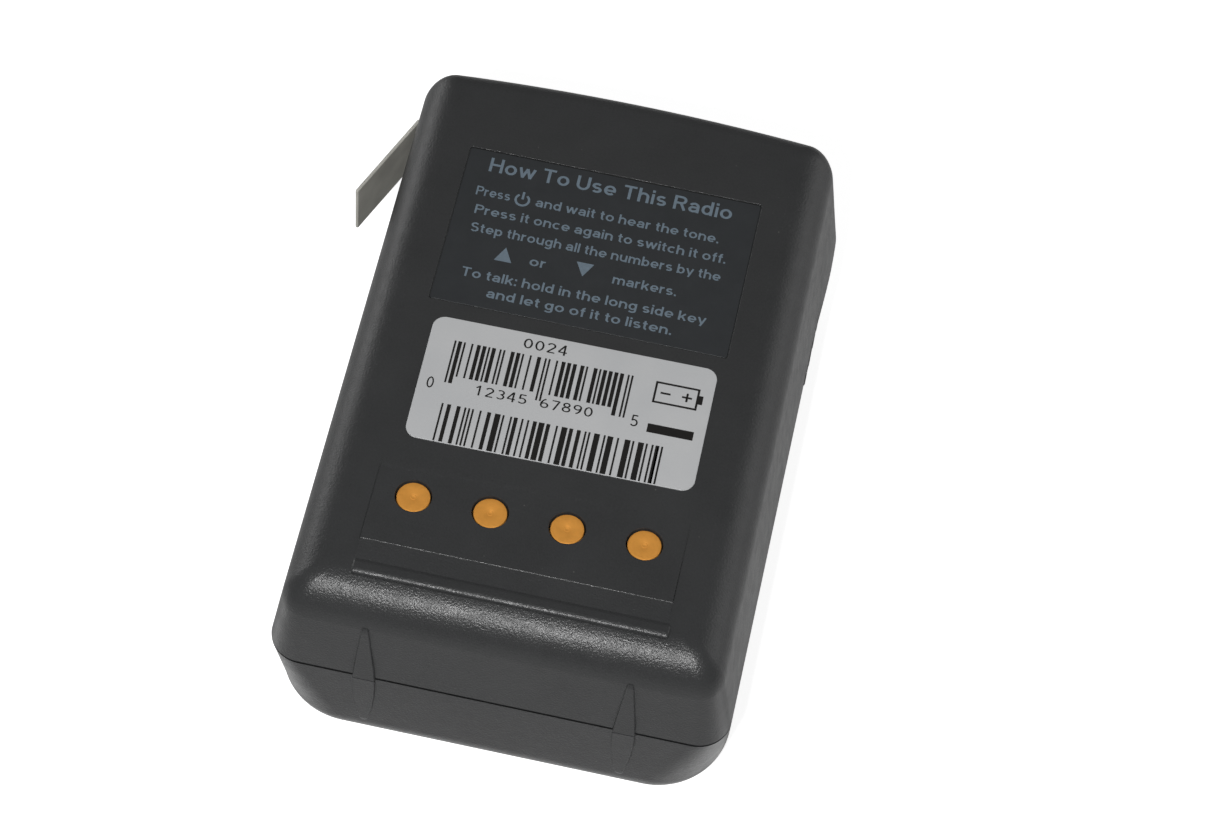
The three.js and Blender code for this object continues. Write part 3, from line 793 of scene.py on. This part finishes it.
def speaker_slots():
    slots = []
    for row in range(-SLOTS["rows"], SLOTS["rows"] + 1):
        y = row * SLOTS["pitch"]
        width = 2 * math.sqrt(SLOTS["radius"] ** 2 - y * y)
        centre = (0, SLOTS["y"] + y)
        slots.append(front_opening(centre, width, SLOTS["width"], SLOTS["corner"], 0, 0.25))
    return slots


def front_hole(place, radius, chamfer=0.3):
    top = WALL + OVER
    wide = radius + chamfer
    profile = [(0, -OVER), (wide, -OVER), (wide, 0), (radius, chamfer), (radius, top), (0, top)]
    return lathe("hole", *place, profile, HOLE_SIDES)


def front_shell():
    top = PARTING - 0.1
    heights = [*reversed(roll_heights(FRONT_ROLL, -FRONT_ROLL))]
    heights += [*wall_heights(FRONT_ROLL, top), top - SEAM]
    rings = [case_ring(z) for z in heights]
    rings += [case_ring(z, inset=SEAM_DEPTH) for z in (top - SEAM - SEAM_FALL, top)]
    shell = loft("front_case", rings)
    roll = FRONT_ROOM["roll"]
    heights = roll_heights(WALL + roll, -roll, INNER_ROLL_STEPS)[::-1]
    heights += [FRONT_ROOM["end"], top]
    room = [case_ring(z, WALL) for z in heights]
    room.append([(x, y, PARTING + 0.5) for x, y, _ in room[-1]])
    cut(shell, loft("room", room))
    fuse(shell, *at_screws("boss", WALL - 0.5, top, HOLE_SIDES), *ribs(RIB["bottom"]))
    cuts = speaker_slots()
    cuts.append(front_opening(*DISPLAY, 1.8))
    cuts += [front_opening((x, KEY_Y), *KEY_SIZE, 2.2) for x in KEYS.values()]
    cuts += [front_hole(place, radius) for place, radius in FRONT_HOLES]
    cuts += at_screws("bore", SCREW_FIT["bore_floor"], PARTING + OVER)
    outline = round_rectangle(PTT["length"] + 2 * PTT_GAP, PTT["height"] + 2 * PTT_GAP, 1.6)
    outline = [(PTT["y"] + u, PTT["z"] + v) for u, v in outline]
    cuts.append(prism_x("ptt_opening", outline, WIDTH / 2 - 5, WIDTH))
    cut(shell, *cuts)
    finish(shell, PLASTIC, "shell_plastic", "front_shell")


# --- print and labels

PRINT_THICK = 0.012
PRINT_LIFT = 0.002  # the gap below the print
CURVE_STEP = 14  # degrees


def flat_shape(name, outlines, z):
    """Thin printed shapes from closed outlines of (x, y) points."""
    levels = (z, z + PRINT_THICK)
    return joined(name, [loft(name, [lifted(o, h) for h in levels]) for o in outlines])


def curve(cx, cy, rx, ry, start=0, end=360):
    """A curved part of a letter, or a whole ellipse."""
    steps = max(2, round(abs(end - start) / CURVE_STEP))
    return oval_arc(cx, cy, rx, ry, start, end - start, steps)


# Letters as pen strokes, in sevenths of a capital's height: each with its width and its strokes.
CAPITAL = 7
PEN = 1.2
DIGIT_PEN = 0.85
PEN_FLAT = 0.85  # the pen's height over its width
LETTER_GAP = 0.85
WORD_GAP = 2.2
MITRE_LIMIT = 1.5
SAME_PLACE = 0.01
STEM = [(0.6, 0), (0.6, 7)]
SHORT = [(0.6, 0), (0.6, 5.1)]
ARCH = curve(2.35, 2.9, 1.75, 1.6, 180, 0) + [(4.1, 0)]
BOW = [(0.6, 6.45)] + curve(3.1, 4.95, 1.6, 1.5, 90, -90) + [(0.6, 3.45)]
LEFT_BOWL = curve(2.35, 2.55, 1.75, 1.95)
RIGHT_BOWL = curve(2.45, 2.55, 1.75, 1.95, 180, 540)
GLYPHS = {
    "a": (4.6, [curve(2.35, 3.05, 1.6, 1.45, 160, 0) + [(3.95, 0)],
                [(3.9, 2.65)] + curve(2.1, 1.6, 1.45, 1.05, 90, 270) + [(3.0, 0.75), (3.9, 1.55)]]),
    "b": (4.8, [STEM, RIGHT_BOWL]),
    "c": (4.6, [curve(2.55, 2.55, 1.95, 1.95, 48, 312)]),
    "d": (4.8, [LEFT_BOWL, [(4.1, 0), (4.1, 7)]]),
    "e": (4.9, [curve(2.5, 2.55, 1.9, 1.95, 0, 315), [(0.7, 2.4), (4.9, 2.4)]]),
    "f": (2.7, [[(1.3, 0)] + curve(2.35, 5.4, 1.05, 1.1, 180, 80), [(0.1, 4.6), (2.7, 4.6)]]),
    "g": (4.8, [LEFT_BOWL, [(4.1, 5.1)] + curve(2.3, -0.3, 1.8, 1.25, 0, -150)]),
    "h": (4.7, [STEM, ARCH]),
    "i": (1.2, [SHORT, [(0.6, 5.85), (0.6, 7)]]),
    "k": (4.5, [STEM, [(1.0, 1.9), (3.9, 5.1)], [(2.0, 3.1), (4.1, 0)]]),
    "l": (1.2, [STEM]),
    "m": (7.6, [SHORT, curve(2.2, 3, 1.6, 1.5, 180, 0) + [(3.8, 0)],
                curve(5.4, 3, 1.6, 1.5, 180, 0) + [(7, 0)]]),
    "n": (4.7, [SHORT, ARCH]),
    "o": (5.0, [curve(2.5, 2.55, 1.9, 1.95)]),
    "p": (4.8, [[(0.6, -2), (0.6, 5.1)], RIGHT_BOWL]),
    "r": (3.0, [SHORT, curve(2.3, 2.7, 1.7, 1.8, 180, 75)]),
    "s": (4.3, [curve(2.15, 3.5, 1.45, 1, 35, 270) + curve(2.15, 1.55, 1.55, 0.98, 90, -145)[1:]]),
    "t": (2.8, [[(1.3, 6.5)] + curve(2.3, 1.55, 1, 1, 180, 280), [(0.1, 4.6), (2.7, 4.6)]]),
    "u": (4.7, [[(0.6, 5.1)] + curve(2.35, 2.2, 1.75, 1.6, 180, 360), [(4.1, 0), (4.1, 5.1)]]),
    "w": (6.9, [[(0.4, 5.1), (1.95, 0.1)], [(1.8, 0.1), (3.5, 4.9)],
                [(3.4, 4.9), (5.1, 0.1)], [(4.95, 0.1), (6.5, 5.1)]]),
    "y": (4.7, [[(0.4, 5.1), (2.45, 0.4)], [(4.3, 5.1), (1.9, -1.4)]]),
    "H": (5.6, [STEM, [(5, 0), (5, 7)], [(0.8, 3.6), (4.8, 3.6)]]),
    "T": (5.4, [[(2.7, 0), (2.7, 6.9)], [(0.1, 6.45), (5.3, 6.45)]]),
    "U": (5.6, [[(0.6, 7)] + curve(2.8, 2.7, 2.2, 2.15, 180, 360) + [(5, 7)]]),
    "R": (5.4, [STEM, BOW, [(3, 3.4), (4.8, 0)]]),
    "P": (5.2, [STEM, BOW]),
    "S": (5.2, [curve(2.6, 5.05, 1.9, 1.4, 30, 270) + curve(2.6, 2.1, 2.0, 1.55, 90, -150)[1:]]),
    ".": (1.3, [[(0.65, 0), (0.65, 1.3)]]),
    ":": (1.3, [[(0.65, 0), (0.65, 1.3)], [(0.65, 3.8), (0.65, 5.1)]]),
    "0": (4.4, [curve(2.2, 3.5, 1.6, 2.9)]),
    "1": (4.4, [[(2.6, 0), (2.6, 7)], [(2.6, 6.6), (1, 5.2)]]),
    "2": (4.4, [curve(2.2, 4.9, 1.6, 1.5, 165, -40) + [(0.7, 0.55)], [(0.5, 0.5), (4, 0.5)]]),
    "3": (4.4, [curve(2.2, 5, 1.5, 1.4, 140, -90), curve(2.2, 2.1, 1.65, 1.55, 90, -145)]),
    "4": (4.4, [[(3.1, 0), (3.1, 7)], [(3, 6.8), (0.5, 2.2)], [(0.3, 2), (4.2, 2)]]),
    "5": (4.4, [[(3.8, 6.45), (1, 6.45)], [(1.15, 6.6), (0.95, 3.4)],
                curve(2.1, 2.3, 1.75, 1.75, 135, -145)]),
    "6": (4.4, [curve(2.2, 2.1, 1.6, 1.55), curve(3.2, 2.4, 2.6, 4, 180, 100)]),
    "7": (4.4, [[(0.4, 6.45), (4, 6.45)], [(3.8, 6.4), (1.6, 0)]]),
    "8": (4.4, [curve(2.2, 5.15, 1.35, 1.3), curve(2.2, 2.05, 1.65, 1.5)]),
    "9": (4.4, [curve(2.2, 4.9, 1.6, 1.55), curve(1.2, 4.6, 2.6, 4, 0, -80)]),
}
GLYPH_BODIES = {}


def stroke_body(points, pen):
    """A pen stroke along points, one unit high. One that ends where it starts is a closed loop."""
    loop = math.dist(points[0], points[-1]) < SAME_PLACE
    path = [Vector(p) for p in (points[:-1] if loop else points)]
    count = len(path)
    bm = bmesh.new()
    rows = []
    for i, point in enumerate(path):
        into = (point - path[i - 1]).normalized() if loop or i > 0 else None
        onward = (path[(i + 1) % count] - point).normalized() if loop or i < count - 1 else None
        into = into or onward
        onward = onward or into
        along = (into + onward).normalized()
        spread = min(1 / max(along.dot(into), 0.1), MITRE_LIMIT) * pen / 2
        side = Vector((-along.y * spread, along.x * spread * PEN_FLAT))
        section = ((side, 0), (-side, 0), (-side, 1), (side, 1))
        rows.append([bm.verts.new((*(point + way), h)) for way, h in section])
    for near, far in zip(rows, rows[1:] + rows[:1] if loop else rows[1:]):
        for k in range(4):
            bm.faces.new((near[k], near[(k + 1) % 4], far[(k + 1) % 4], far[k]))
    if not loop:
        bm.faces.new(rows[0][::-1])
        bm.faces.new(rows[-1])
    return from_bmesh("stroke", bm)


def glyph_body(character, pen):
    """Points and faces of one character, made once for each pen."""
    key = (character, pen)
    if key not in GLYPH_BODIES:
        strokes = GLYPHS[character][1]
        body = stroke_body(strokes[0], pen)
        for stroke in strokes[1:]:
            fuse(body, stroke_body(stroke, pen))
        points = [tuple(v.co) for v in body.data.vertices]
        GLYPH_BODIES[key] = (points, [tuple(p.vertices) for p in body.data.polygons])
        bpy.data.objects.remove(body)
    return GLYPH_BODIES[key]


def lettering(words, left, baseline, width, cap, z, pen=PEN, turn=None):
    """A line of print: its left end, baseline, width and capital height."""
    places = []
    reach = 0
    for character in words:
        if character == " ":
            reach += WORD_GAP
            continue
        places.append((character, reach))
        reach += GLYPHS[character][0] + LETTER_GAP
    across = width / (reach - LETTER_GAP)
    bm = bmesh.new()
    for character, start in places:
        points, faces = glyph_body(character, pen)
        made = []
        for u, v, h in points:
            x, y = left + (start + u) * across, baseline + v * cap / CAPITAL
            if turn:
                x, y = turned((x, y), *turn)
            made.append(bm.verts.new(scaled(x, y, z + h * PRINT_THICK)))
        for face in faces:
            bm.faces.new([made[k] for k in face])
    return from_bmesh("words", bm)


def bar_outline(x0, x1, y0, y1):
    return [(x0, y0), (x1, y0), (x1, y1), (x0, y1)]


def power_icon(cx, cy, radius, thick):
    """A ring open at its top, with a bar in the gap."""
    half = thick / 2
    outer, inner = (arc(cx, cy, radius + way, 125, 290, 28) for way in (half, -half))
    bar = bar_outline(cx - half, cx + half, cy + radius * 0.1, cy + radius * 1.45)
    return [outer + inner[::-1], bar]


def triangle(cx, cy, half, height):
    return [(cx - half, cy), (cx + half, cy), (cx, cy + height)]


def instruction_label():
    levels = label_levels("instruction_label", FILM_SOFT)
    film = plate("instruction_film", *PANEL, 0.4, levels)
    finish(film, FILM, "label_film", "instruction_label")
    z = levels[-1][0] + PRINT_LIFT
    pieces = [lettering("How To Use This Radio", -17.8, 27.1, 35.1, 2.4, z)]
    for words, x, y, width in (
        ("Press", -18.7, 22.75, 4.9),
        ("and wait to hear the tone.", -10.1, 22.75, 26.4),
        ("Press it once again to switch it off.", -18.2, 19.6, 36.1),
        ("Step through all the numbers by the", -18.1, 16.5, 35.8),
        ("or", -8.8, 12.75, 2.3),
        ("markers.", 3.1, 12.57, 9.1),
        ("To talk: hold in the long side key", -17.7, 8.87, 34.8),
        ("and let go of it to listen.", -13.5, 6.1, 26.3),
    ):
        pieces.append(lettering(words, x, y, width, 1.55, z))
    icons = [*power_icon(-12.05, 23.37, 0.95, 0.34), triangle(-12.5, 12.5, 1.25, 2.4),
             triangle(-1.15, 15.0, 1.25, -2.3)]
    pieces.append(flat_shape("icons", icons, z))
    printed = joined("instruction_print", pieces)
    finish(printed, PRINT, "label_film")


def bar_code(rng, x0, x1, low, high, modules, guard_low):
    """Bars and spaces of one to three modules. The outer and middle bars reach guard_low."""
    step = (x1 - x0) / modules
    bars = []
    at = 0
    while at < modules - 3:
        wide = rng.choice((1, 1, 1, 2, 2, 3))
        if at == 0 or modules / 2 - 3 < at < modules / 2 + 1:
            wide = 1
        guard = at < 4 or abs(at - modules / 2) < 3 or at > modules - 9
        foot = guard_low if guard else low
        bars.append(bar_outline(x0 + at * step, x0 + (at + wide) * step, foot, high))
        at += wide + rng.choice((1, 1, 2, 2, 3) if wide < 3 else (1, 1, 2))
    for last in (modules - 3, modules - 1):
        bars.append(bar_outline(x0 + last * step, x0 + (last + 1) * step, guard_low, high))
    return bars


def battery_picture(cx, cy):
    """A plain battery outline with plus and minus marks."""
    w, h, t = 3.1, 1.75, 0.3
    half, centre = t / 2, 1.5
    bars = [(-w, w, h - t, h), (-w, w, -h, t - h)]
    bars += [(-w, t - w, t - h, h - t), (w - t, w, t - h, h - t), (w, w + 0.6, -0.7, 0.7)]
    bars += [(0.8, 2.2, -half, half), (-2.2, -0.8, -half, half)]
    bars += [(centre - half, centre + half, *span) for span in ((half, 0.7), (-0.7, -half))]
    return [bar_outline(cx + x0, cx + x1, cy + y0, cy + y1) for x0, x1, y0, y1 in bars]


STICKER = ((0.52, -8.35), 40, 20, 1.8)  # centre, width, height, corner
STICKER_TURN = 0.52  # degrees
STICKER_SOFT = 0.05
FILM_SOFT = 0.04


def label_levels(node, soft):
    """The levels of a flat label with softened edges, from its CAD node's box."""
    low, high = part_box(node)
    base, top = low.z / MM, high.z / MM
    return [(base, 0), (top - soft, 0), (top, -soft)]


def barcode_label():
    levels = label_levels("barcode_label", STICKER_SOFT)
    centre, _, height, _ = STICKER
    turn = STICKER_TURN
    sticker = plate("sticker", *STICKER, levels, turn, 16)
    finish(sticker, PAPER, "sticker_paper", "barcode_label")
    rng = random.Random(7)
    z = levels[-1][0] + PRINT_LIFT
    foot = 0.08 - height / 2
    shapes = bar_code(rng, -16.45, 8.7, 0.72, 6.45, 95, -0.5)
    shapes += bar_code(rng, -16.0, 14.8, foot, -3.85, 116, foot)
    shapes += [bar_outline(12.05, 18.45, -2.0, -0.6)]
    shapes += battery_picture(15.0, 4.6)
    shapes = [[turned(p, centre, turn) for p in outline] for outline in shapes]
    pieces = [flat_shape("bars", shapes, z)]
    for words, x, y, wide, cap in (
        ("0024", -7.15, 7.42, 6.2, 1.7),
        ("0", -18.8, -1.9, 1.05, 1.95),
        ("12345", -12.2, -1.55, 7.4, 1.6),
        ("67890", -3.0, -1.5, 7.4, 1.6),
        ("5", 9.6, -1.6, 1.1, 1.95),
    ):
        pieces.append(lettering(words, x, y, wide, cap, z, DIGIT_PEN, (centre, turn)))
    printed = joined("sticker_print", pieces)
    finish(printed, BLACK_INK, "sticker_paper")


# --- contacts, cover and buttons


STUD = {"rim": 0.14, "stem": 1.1, "foot": 4.5, "neck": 1.5}
STUD_MARK = [(0.55, 0), (0.42, 0.05), (0.34, 0.03), (0.22, 0.07), (0, 0.09)]  # (radius, depth)


def charge_contacts():
    """Gold studs: a flat face with a softened rim and a small centre mark from turning."""
    radius, top, rim = CONTACTS["radius"], CONTACTS["top"], STUD["rim"]
    stem, foot, neck = STUD["stem"], DEPTH - STUD["foot"], DEPTH - STUD["neck"]
    profile = [(0, foot), (stem, foot), (stem, neck), (radius, neck)]
    profile += arc(radius - rim, top - rim, rim, 0, 90, 5)
    profile += [(r, top - deep) for r, deep in STUD_MARK]
    for i, place in enumerate(CONTACT_PLACES, 1):
        stud = lathe(f"gold_contact_{i}", *place, profile)
        finish(stud, GOLD, "contact_gold", f"charge_contact_{i}")


def cover_outline(inset):
    """The strap's section, from its round root at the hinge to its free end."""
    half, end = COVER_SIZE["thick"] / 2, -COVER_SIZE["length"]
    corner, tip = COVER_CORNER, COVER_CORNER - inset
    stations = [end * i / COVER_STEPS for i in range(1, COVER_STEPS)]
    points = arc(0, 0, half - inset, 0, 180, COVER_STEPS)
    points += [(-half + inset, y) for y in stations]
    points += arc(-half + corner, end + corner, tip, 180, 90, 5)
    points += arc(half - corner, end + corner, tip, 270, 90, 5)
    points += [(half - inset, y) for y in reversed(stations)]
    return points


def jack_cover():
    """A thin rubber strap: softened edges, a rounded free end and a rounded root."""
    soft = COVER_EDGE
    low, high = COVER_SIZE["low"], COVER_SIZE["high"]
    bends = [(soft * (1 - math.cos(a)), soft * (1 - math.sin(a))) for a in COVER_BENDS]
    levels = [(low + rise, inset) for rise, inset in bends]
    levels += [(high - rise, inset) for rise, inset in reversed(bends)]
    open_by = -COVER_SIZE["open"]
    rings = []
    for z, inset in levels:
        ring = [turned(p, COVER_HINGE, open_by) for p in cover_outline(inset)]
        rings.append(lifted(ring, z))
    strap = loft("jack_cover", rings)
    finish(strap, COVER, "cover_rubber", "accessory_cover", body="accessory_cover")


PTT_ROOT = WIDTH / 2 - WALL - 0.7
PTT_CROWN = [(0.75, 0), (0.5, 0.06), (0.3, 0.22), (0.22, 0.5)]  # (below the face, drawn in)
PTT_BARS = {"count": 5, "pitch": 3.2, "width": 1.3, "crest": 0.9, "short": 3}
PTT_FLANGE = {"thick": 1.1, "ends": 1.2, "sides": 1}


def ptt_outline(x, width, height, corner, steps, y=0):
    outline = round_rectangle(width, height, corner, steps)
    return [(x, PTT["y"] + y + u, PTT["z"] + v) for u, v in outline]


def ptt_button():
    """The push to talk key: a crowned rubber face with five grip bars, and its flange inside."""
    face, length, height = PTT_FACE, PTT["length"], PTT["height"]
    levels = [(PTT_ROOT, 0)] + [(face - below, inset) for below, inset in PTT_CROWN]
    cap = loft("ptt_cap", [ptt_outline(x, length - 2 * inset, height - 2 * inset, 1.2, 8)
                           for x, inset in levels])
    bars = []
    width, tall = PTT_BARS["width"], height - PTT_BARS["short"]
    crest = PTT_BARS["crest"]
    slim = width - crest
    for i in range(PTT_BARS["count"]):
        y = (i - 2) * PTT_BARS["pitch"]
        foot = [ptt_outline(face - below, width, tall, 0.6, 6, y) for below in (0.6, 0.1)]
        bars.append(loft("bar", [*foot, ptt_outline(face, crest, tall - slim, 0.42, 6, y)]))
    fuse(cap, *bars)
    a, b = length / 2 + PTT_FLANGE["ends"], height / 2 + PTT_FLANGE["sides"]
    flange = slab("flange", (PTT_ROOT - PTT_FLANGE["thick"], PTT_ROOT + 0.2),
                  (PTT["y"] - a, PTT["y"] + a), (PTT["z"] - b, PTT["z"] + b))
    fuse(cap, flange)
    finish(cap, SIDE_KEY, "key_rubber", "ptt_button", body="ptt_button")


KEY_SUNK = 0.4
KEY_CROWN = [(0, -0.5), (0.08, -0.22), (0.3, -0.04), (0.5, 0)]
KEY_FLANGE = {"grow": 2, "corner": 2.2, "z": (2.3, 3.2)}
KEY_STEM = (1.5, 3, 9)  # radius, z from, z to


def front_keys():
    """Keys with crowned faces and printed marks: a power mark and two triangles."""
    width, height = KEY_SIZE
    levels = [(KEY_SUNK + z, grow) for z, grow in KEY_CROWN] + [(2.6, 0)]
    wider = KEY_FLANGE["grow"]
    for name, x in KEYS.items():
        place = (x, KEY_Y)
        cap = plate(name + "_cap", place, width, height, 1.9, levels, steps=10)
        base = [(z, 0) for z in KEY_FLANGE["z"]]
        corner = KEY_FLANGE["corner"]
        flange = plate("flange", place, width + wider, height + wider, corner, base, steps=10)
        fuse(cap, flange)
        fuse(cap, post("stem", place, *KEY_STEM))
        finish(cap, KEY, "key_rubber", name, body=name)
        if name == "power_key":
            marks = power_icon(x, KEY_Y - 0.15, 1.0, 0.3)
        else:
            rise = 1.8 if name == "channel_up_key" else -1.8
            marks = [triangle(x, KEY_Y - rise / 2, 1.1, rise)]
        mark = flat_shape(name + "_mark", marks, KEY_SUNK - PRINT_THICK - PRINT_LIFT)
        finish(mark, WHITE_INK, "key_rubber", body=name)


def display_window():
    levels = [(0.5, -0.25), (0.6, -0.08), (0.75, 0), (1.9, 0)]
    window = plate("front_window", *DISPLAY, 1.5, levels)
    finish(window, WINDOW, "window_glass", "display_window")


# --- camera, light and floor

CAMERA = {"azimuth": 6.32, "elevation": 58.08, "roll": 6.3, "distance": 521.3,
          "lens": 112.1, "sensor": 36}
CLIP = (0.01, 20)  # metres
LOOK_AT = (7.35, -7.5, DEPTH)


def direction(azimuth, elevation):
    a, e = math.radians(azimuth), math.radians(elevation)
    return Vector((math.sin(a) * math.cos(e), -math.cos(a) * math.cos(e), math.sin(e)))


def add_camera():
    data = bpy.data.cameras.new("camera")
    data.sensor_width = CAMERA["sensor"]
    data.lens = CAMERA["lens"]
    data.clip_start, data.clip_end = CLIP
    back = direction(CAMERA["azimuth"], CAMERA["elevation"])
    right = (-back).cross(Vector((0, 0, 1))).normalized()
    up = right.cross(-back)
    roll = math.radians(CAMERA["roll"])
    side = right * math.cos(roll) + up * math.sin(roll)
    over = up * math.cos(roll) - right * math.sin(roll)
    camera = new_object("camera", data)
    place = Matrix((side, over, back)).transposed().to_4x4()
    place.translation = scaled(*LOOK_AT) + back * CAMERA["distance"] * MM
    camera.matrix_world = place
    bpy.context.scene.camera = camera


# Square lamps that face the radio: direction from it, distance, size and power.
LAMPS = {
    "flash": ((-0.04, -0.6, 0.8), 600, 50, 2.2),
    "left_fill": ((-0.84, 0.53, 0.0), 600, 380, 1.0),
    "right_fill": ((0.86, 0.5, 0.2), 430, 310, 0.28),
}


def add_lights():
    for name, (toward, distance, size, power) in LAMPS.items():
        data = bpy.data.lights.new(name, "AREA")
        data.size = size * MM
        data.energy = power
        lamp = new_object(name, data)
        toward = Vector(toward).normalized()
        lamp.location = scaled(0, 0, DEPTH / 2) + toward * distance * MM
        lamp.rotation_mode = "QUATERNION"
        lamp.rotation_quaternion = toward.to_track_quat("Z", "Y")


ROOM_GREY = 0.12
BACKDROP_GREY = 0.9


def grey(tone):
    return (tone, tone, tone)


def add_world():
    """A dim room for the lighting, and a pale backdrop for the camera."""
    world = bpy.data.worlds.new("room")
    world.use_nodes = True
    tree = world.node_tree
    tree.nodes.clear()
    out, mix, path = (tree.nodes.new("ShaderNode" + kind)
                      for kind in ("OutputWorld", "MixShader", "LightPath"))
    tree.links.new(path.outputs["Is Camera Ray"], mix.inputs["Fac"])
    for socket, tone in ((mix.inputs[1], ROOM_GREY), (mix.inputs[2], BACKDROP_GREY)):
        backdrop = tree.nodes.new("ShaderNodeBackground")
        backdrop.inputs["Color"].default_value = (*grey(tone), 1)
        tree.links.new(backdrop.outputs["Background"], socket)
    tree.links.new(mix.outputs["Shader"], out.inputs["Surface"])
    bpy.context.scene.world = world


# The table lights the radio from near a place behind it, less from in front of the radio, and a
# little from a strip under its front edge. Places are (x, y), and spans are distances or y.
TABLE_CENTRE = (60, 60)
TABLE_NEAR = (190, 400)
TABLE_FRONT = (-60, -15)
TABLE_STRIP = (-48.5, -46.5, -37, -35)
TABLE_SHINE = {"behind": 0.09, "strip": 0.45, "seen": 0.85}
TABLE_GREY = {"far": 0.05, "near": 0.66, "seen": 0.85}
TABLE_HALF = 1500
TABLE_Z = (-20, -0.02)


def add_floor():
    """A pale table. The camera sees it evenly white, and it lights the radio from close by only."""
    n = Nodes("table")
    n.set(Roughness=0.9, Emission_Color=(1, 1, 1), Specular_IOR_Level=0.0)
    seen = n.add("LightPath", "Is Camera Ray")
    reach = n.add("VectorMath", "Value", n.place, (*TABLE_CENTRE, 0), operation="DISTANCE")
    near = n.spread(reach, *TABLE_NEAR, 1, 0)
    lit = n.mix(near, grey(TABLE_GREY["far"]), grey(TABLE_GREY["near"]))
    n.colour(n.mix(seen, lit, grey(TABLE_GREY["seen"])))
    y = n.add("SeparateXYZ", "Y", n.place)
    behind = n.combined(n.spread(y, *TABLE_FRONT, 0, TABLE_SHINE["behind"]), near)
    strip = n.combined(n.spread(y, *TABLE_STRIP[:2], 0, TABLE_SHINE["strip"]),
                       n.spread(y, *TABLE_STRIP[2:], 1, 0))
    shine = n.combined(behind, n.spread(seen, 0, 1, 0, TABLE_SHINE["seen"]), "MAXIMUM")
    n.set(Emission_Strength=n.combined(shine, strip, "MAXIMUM"))
    half = TABLE_HALF
    corners = [(-half, -half), (half, -half), (half, half), (-half, half)]
    floor = loft("table", [lifted(corners, z) for z in TABLE_Z])
    floor.data.materials.append(n.material)


finish_cad_nodes()
rear_shell()
front_shell()
instruction_label()
barcode_label()
charge_contacts()
jack_cover()
ptt_button()
front_keys()
display_window()
add_camera()
add_lights()
add_world()
add_floor()
bpy.context.scene.view_settings.view_transform = "Standard"
bpy.context.view_layer.update()
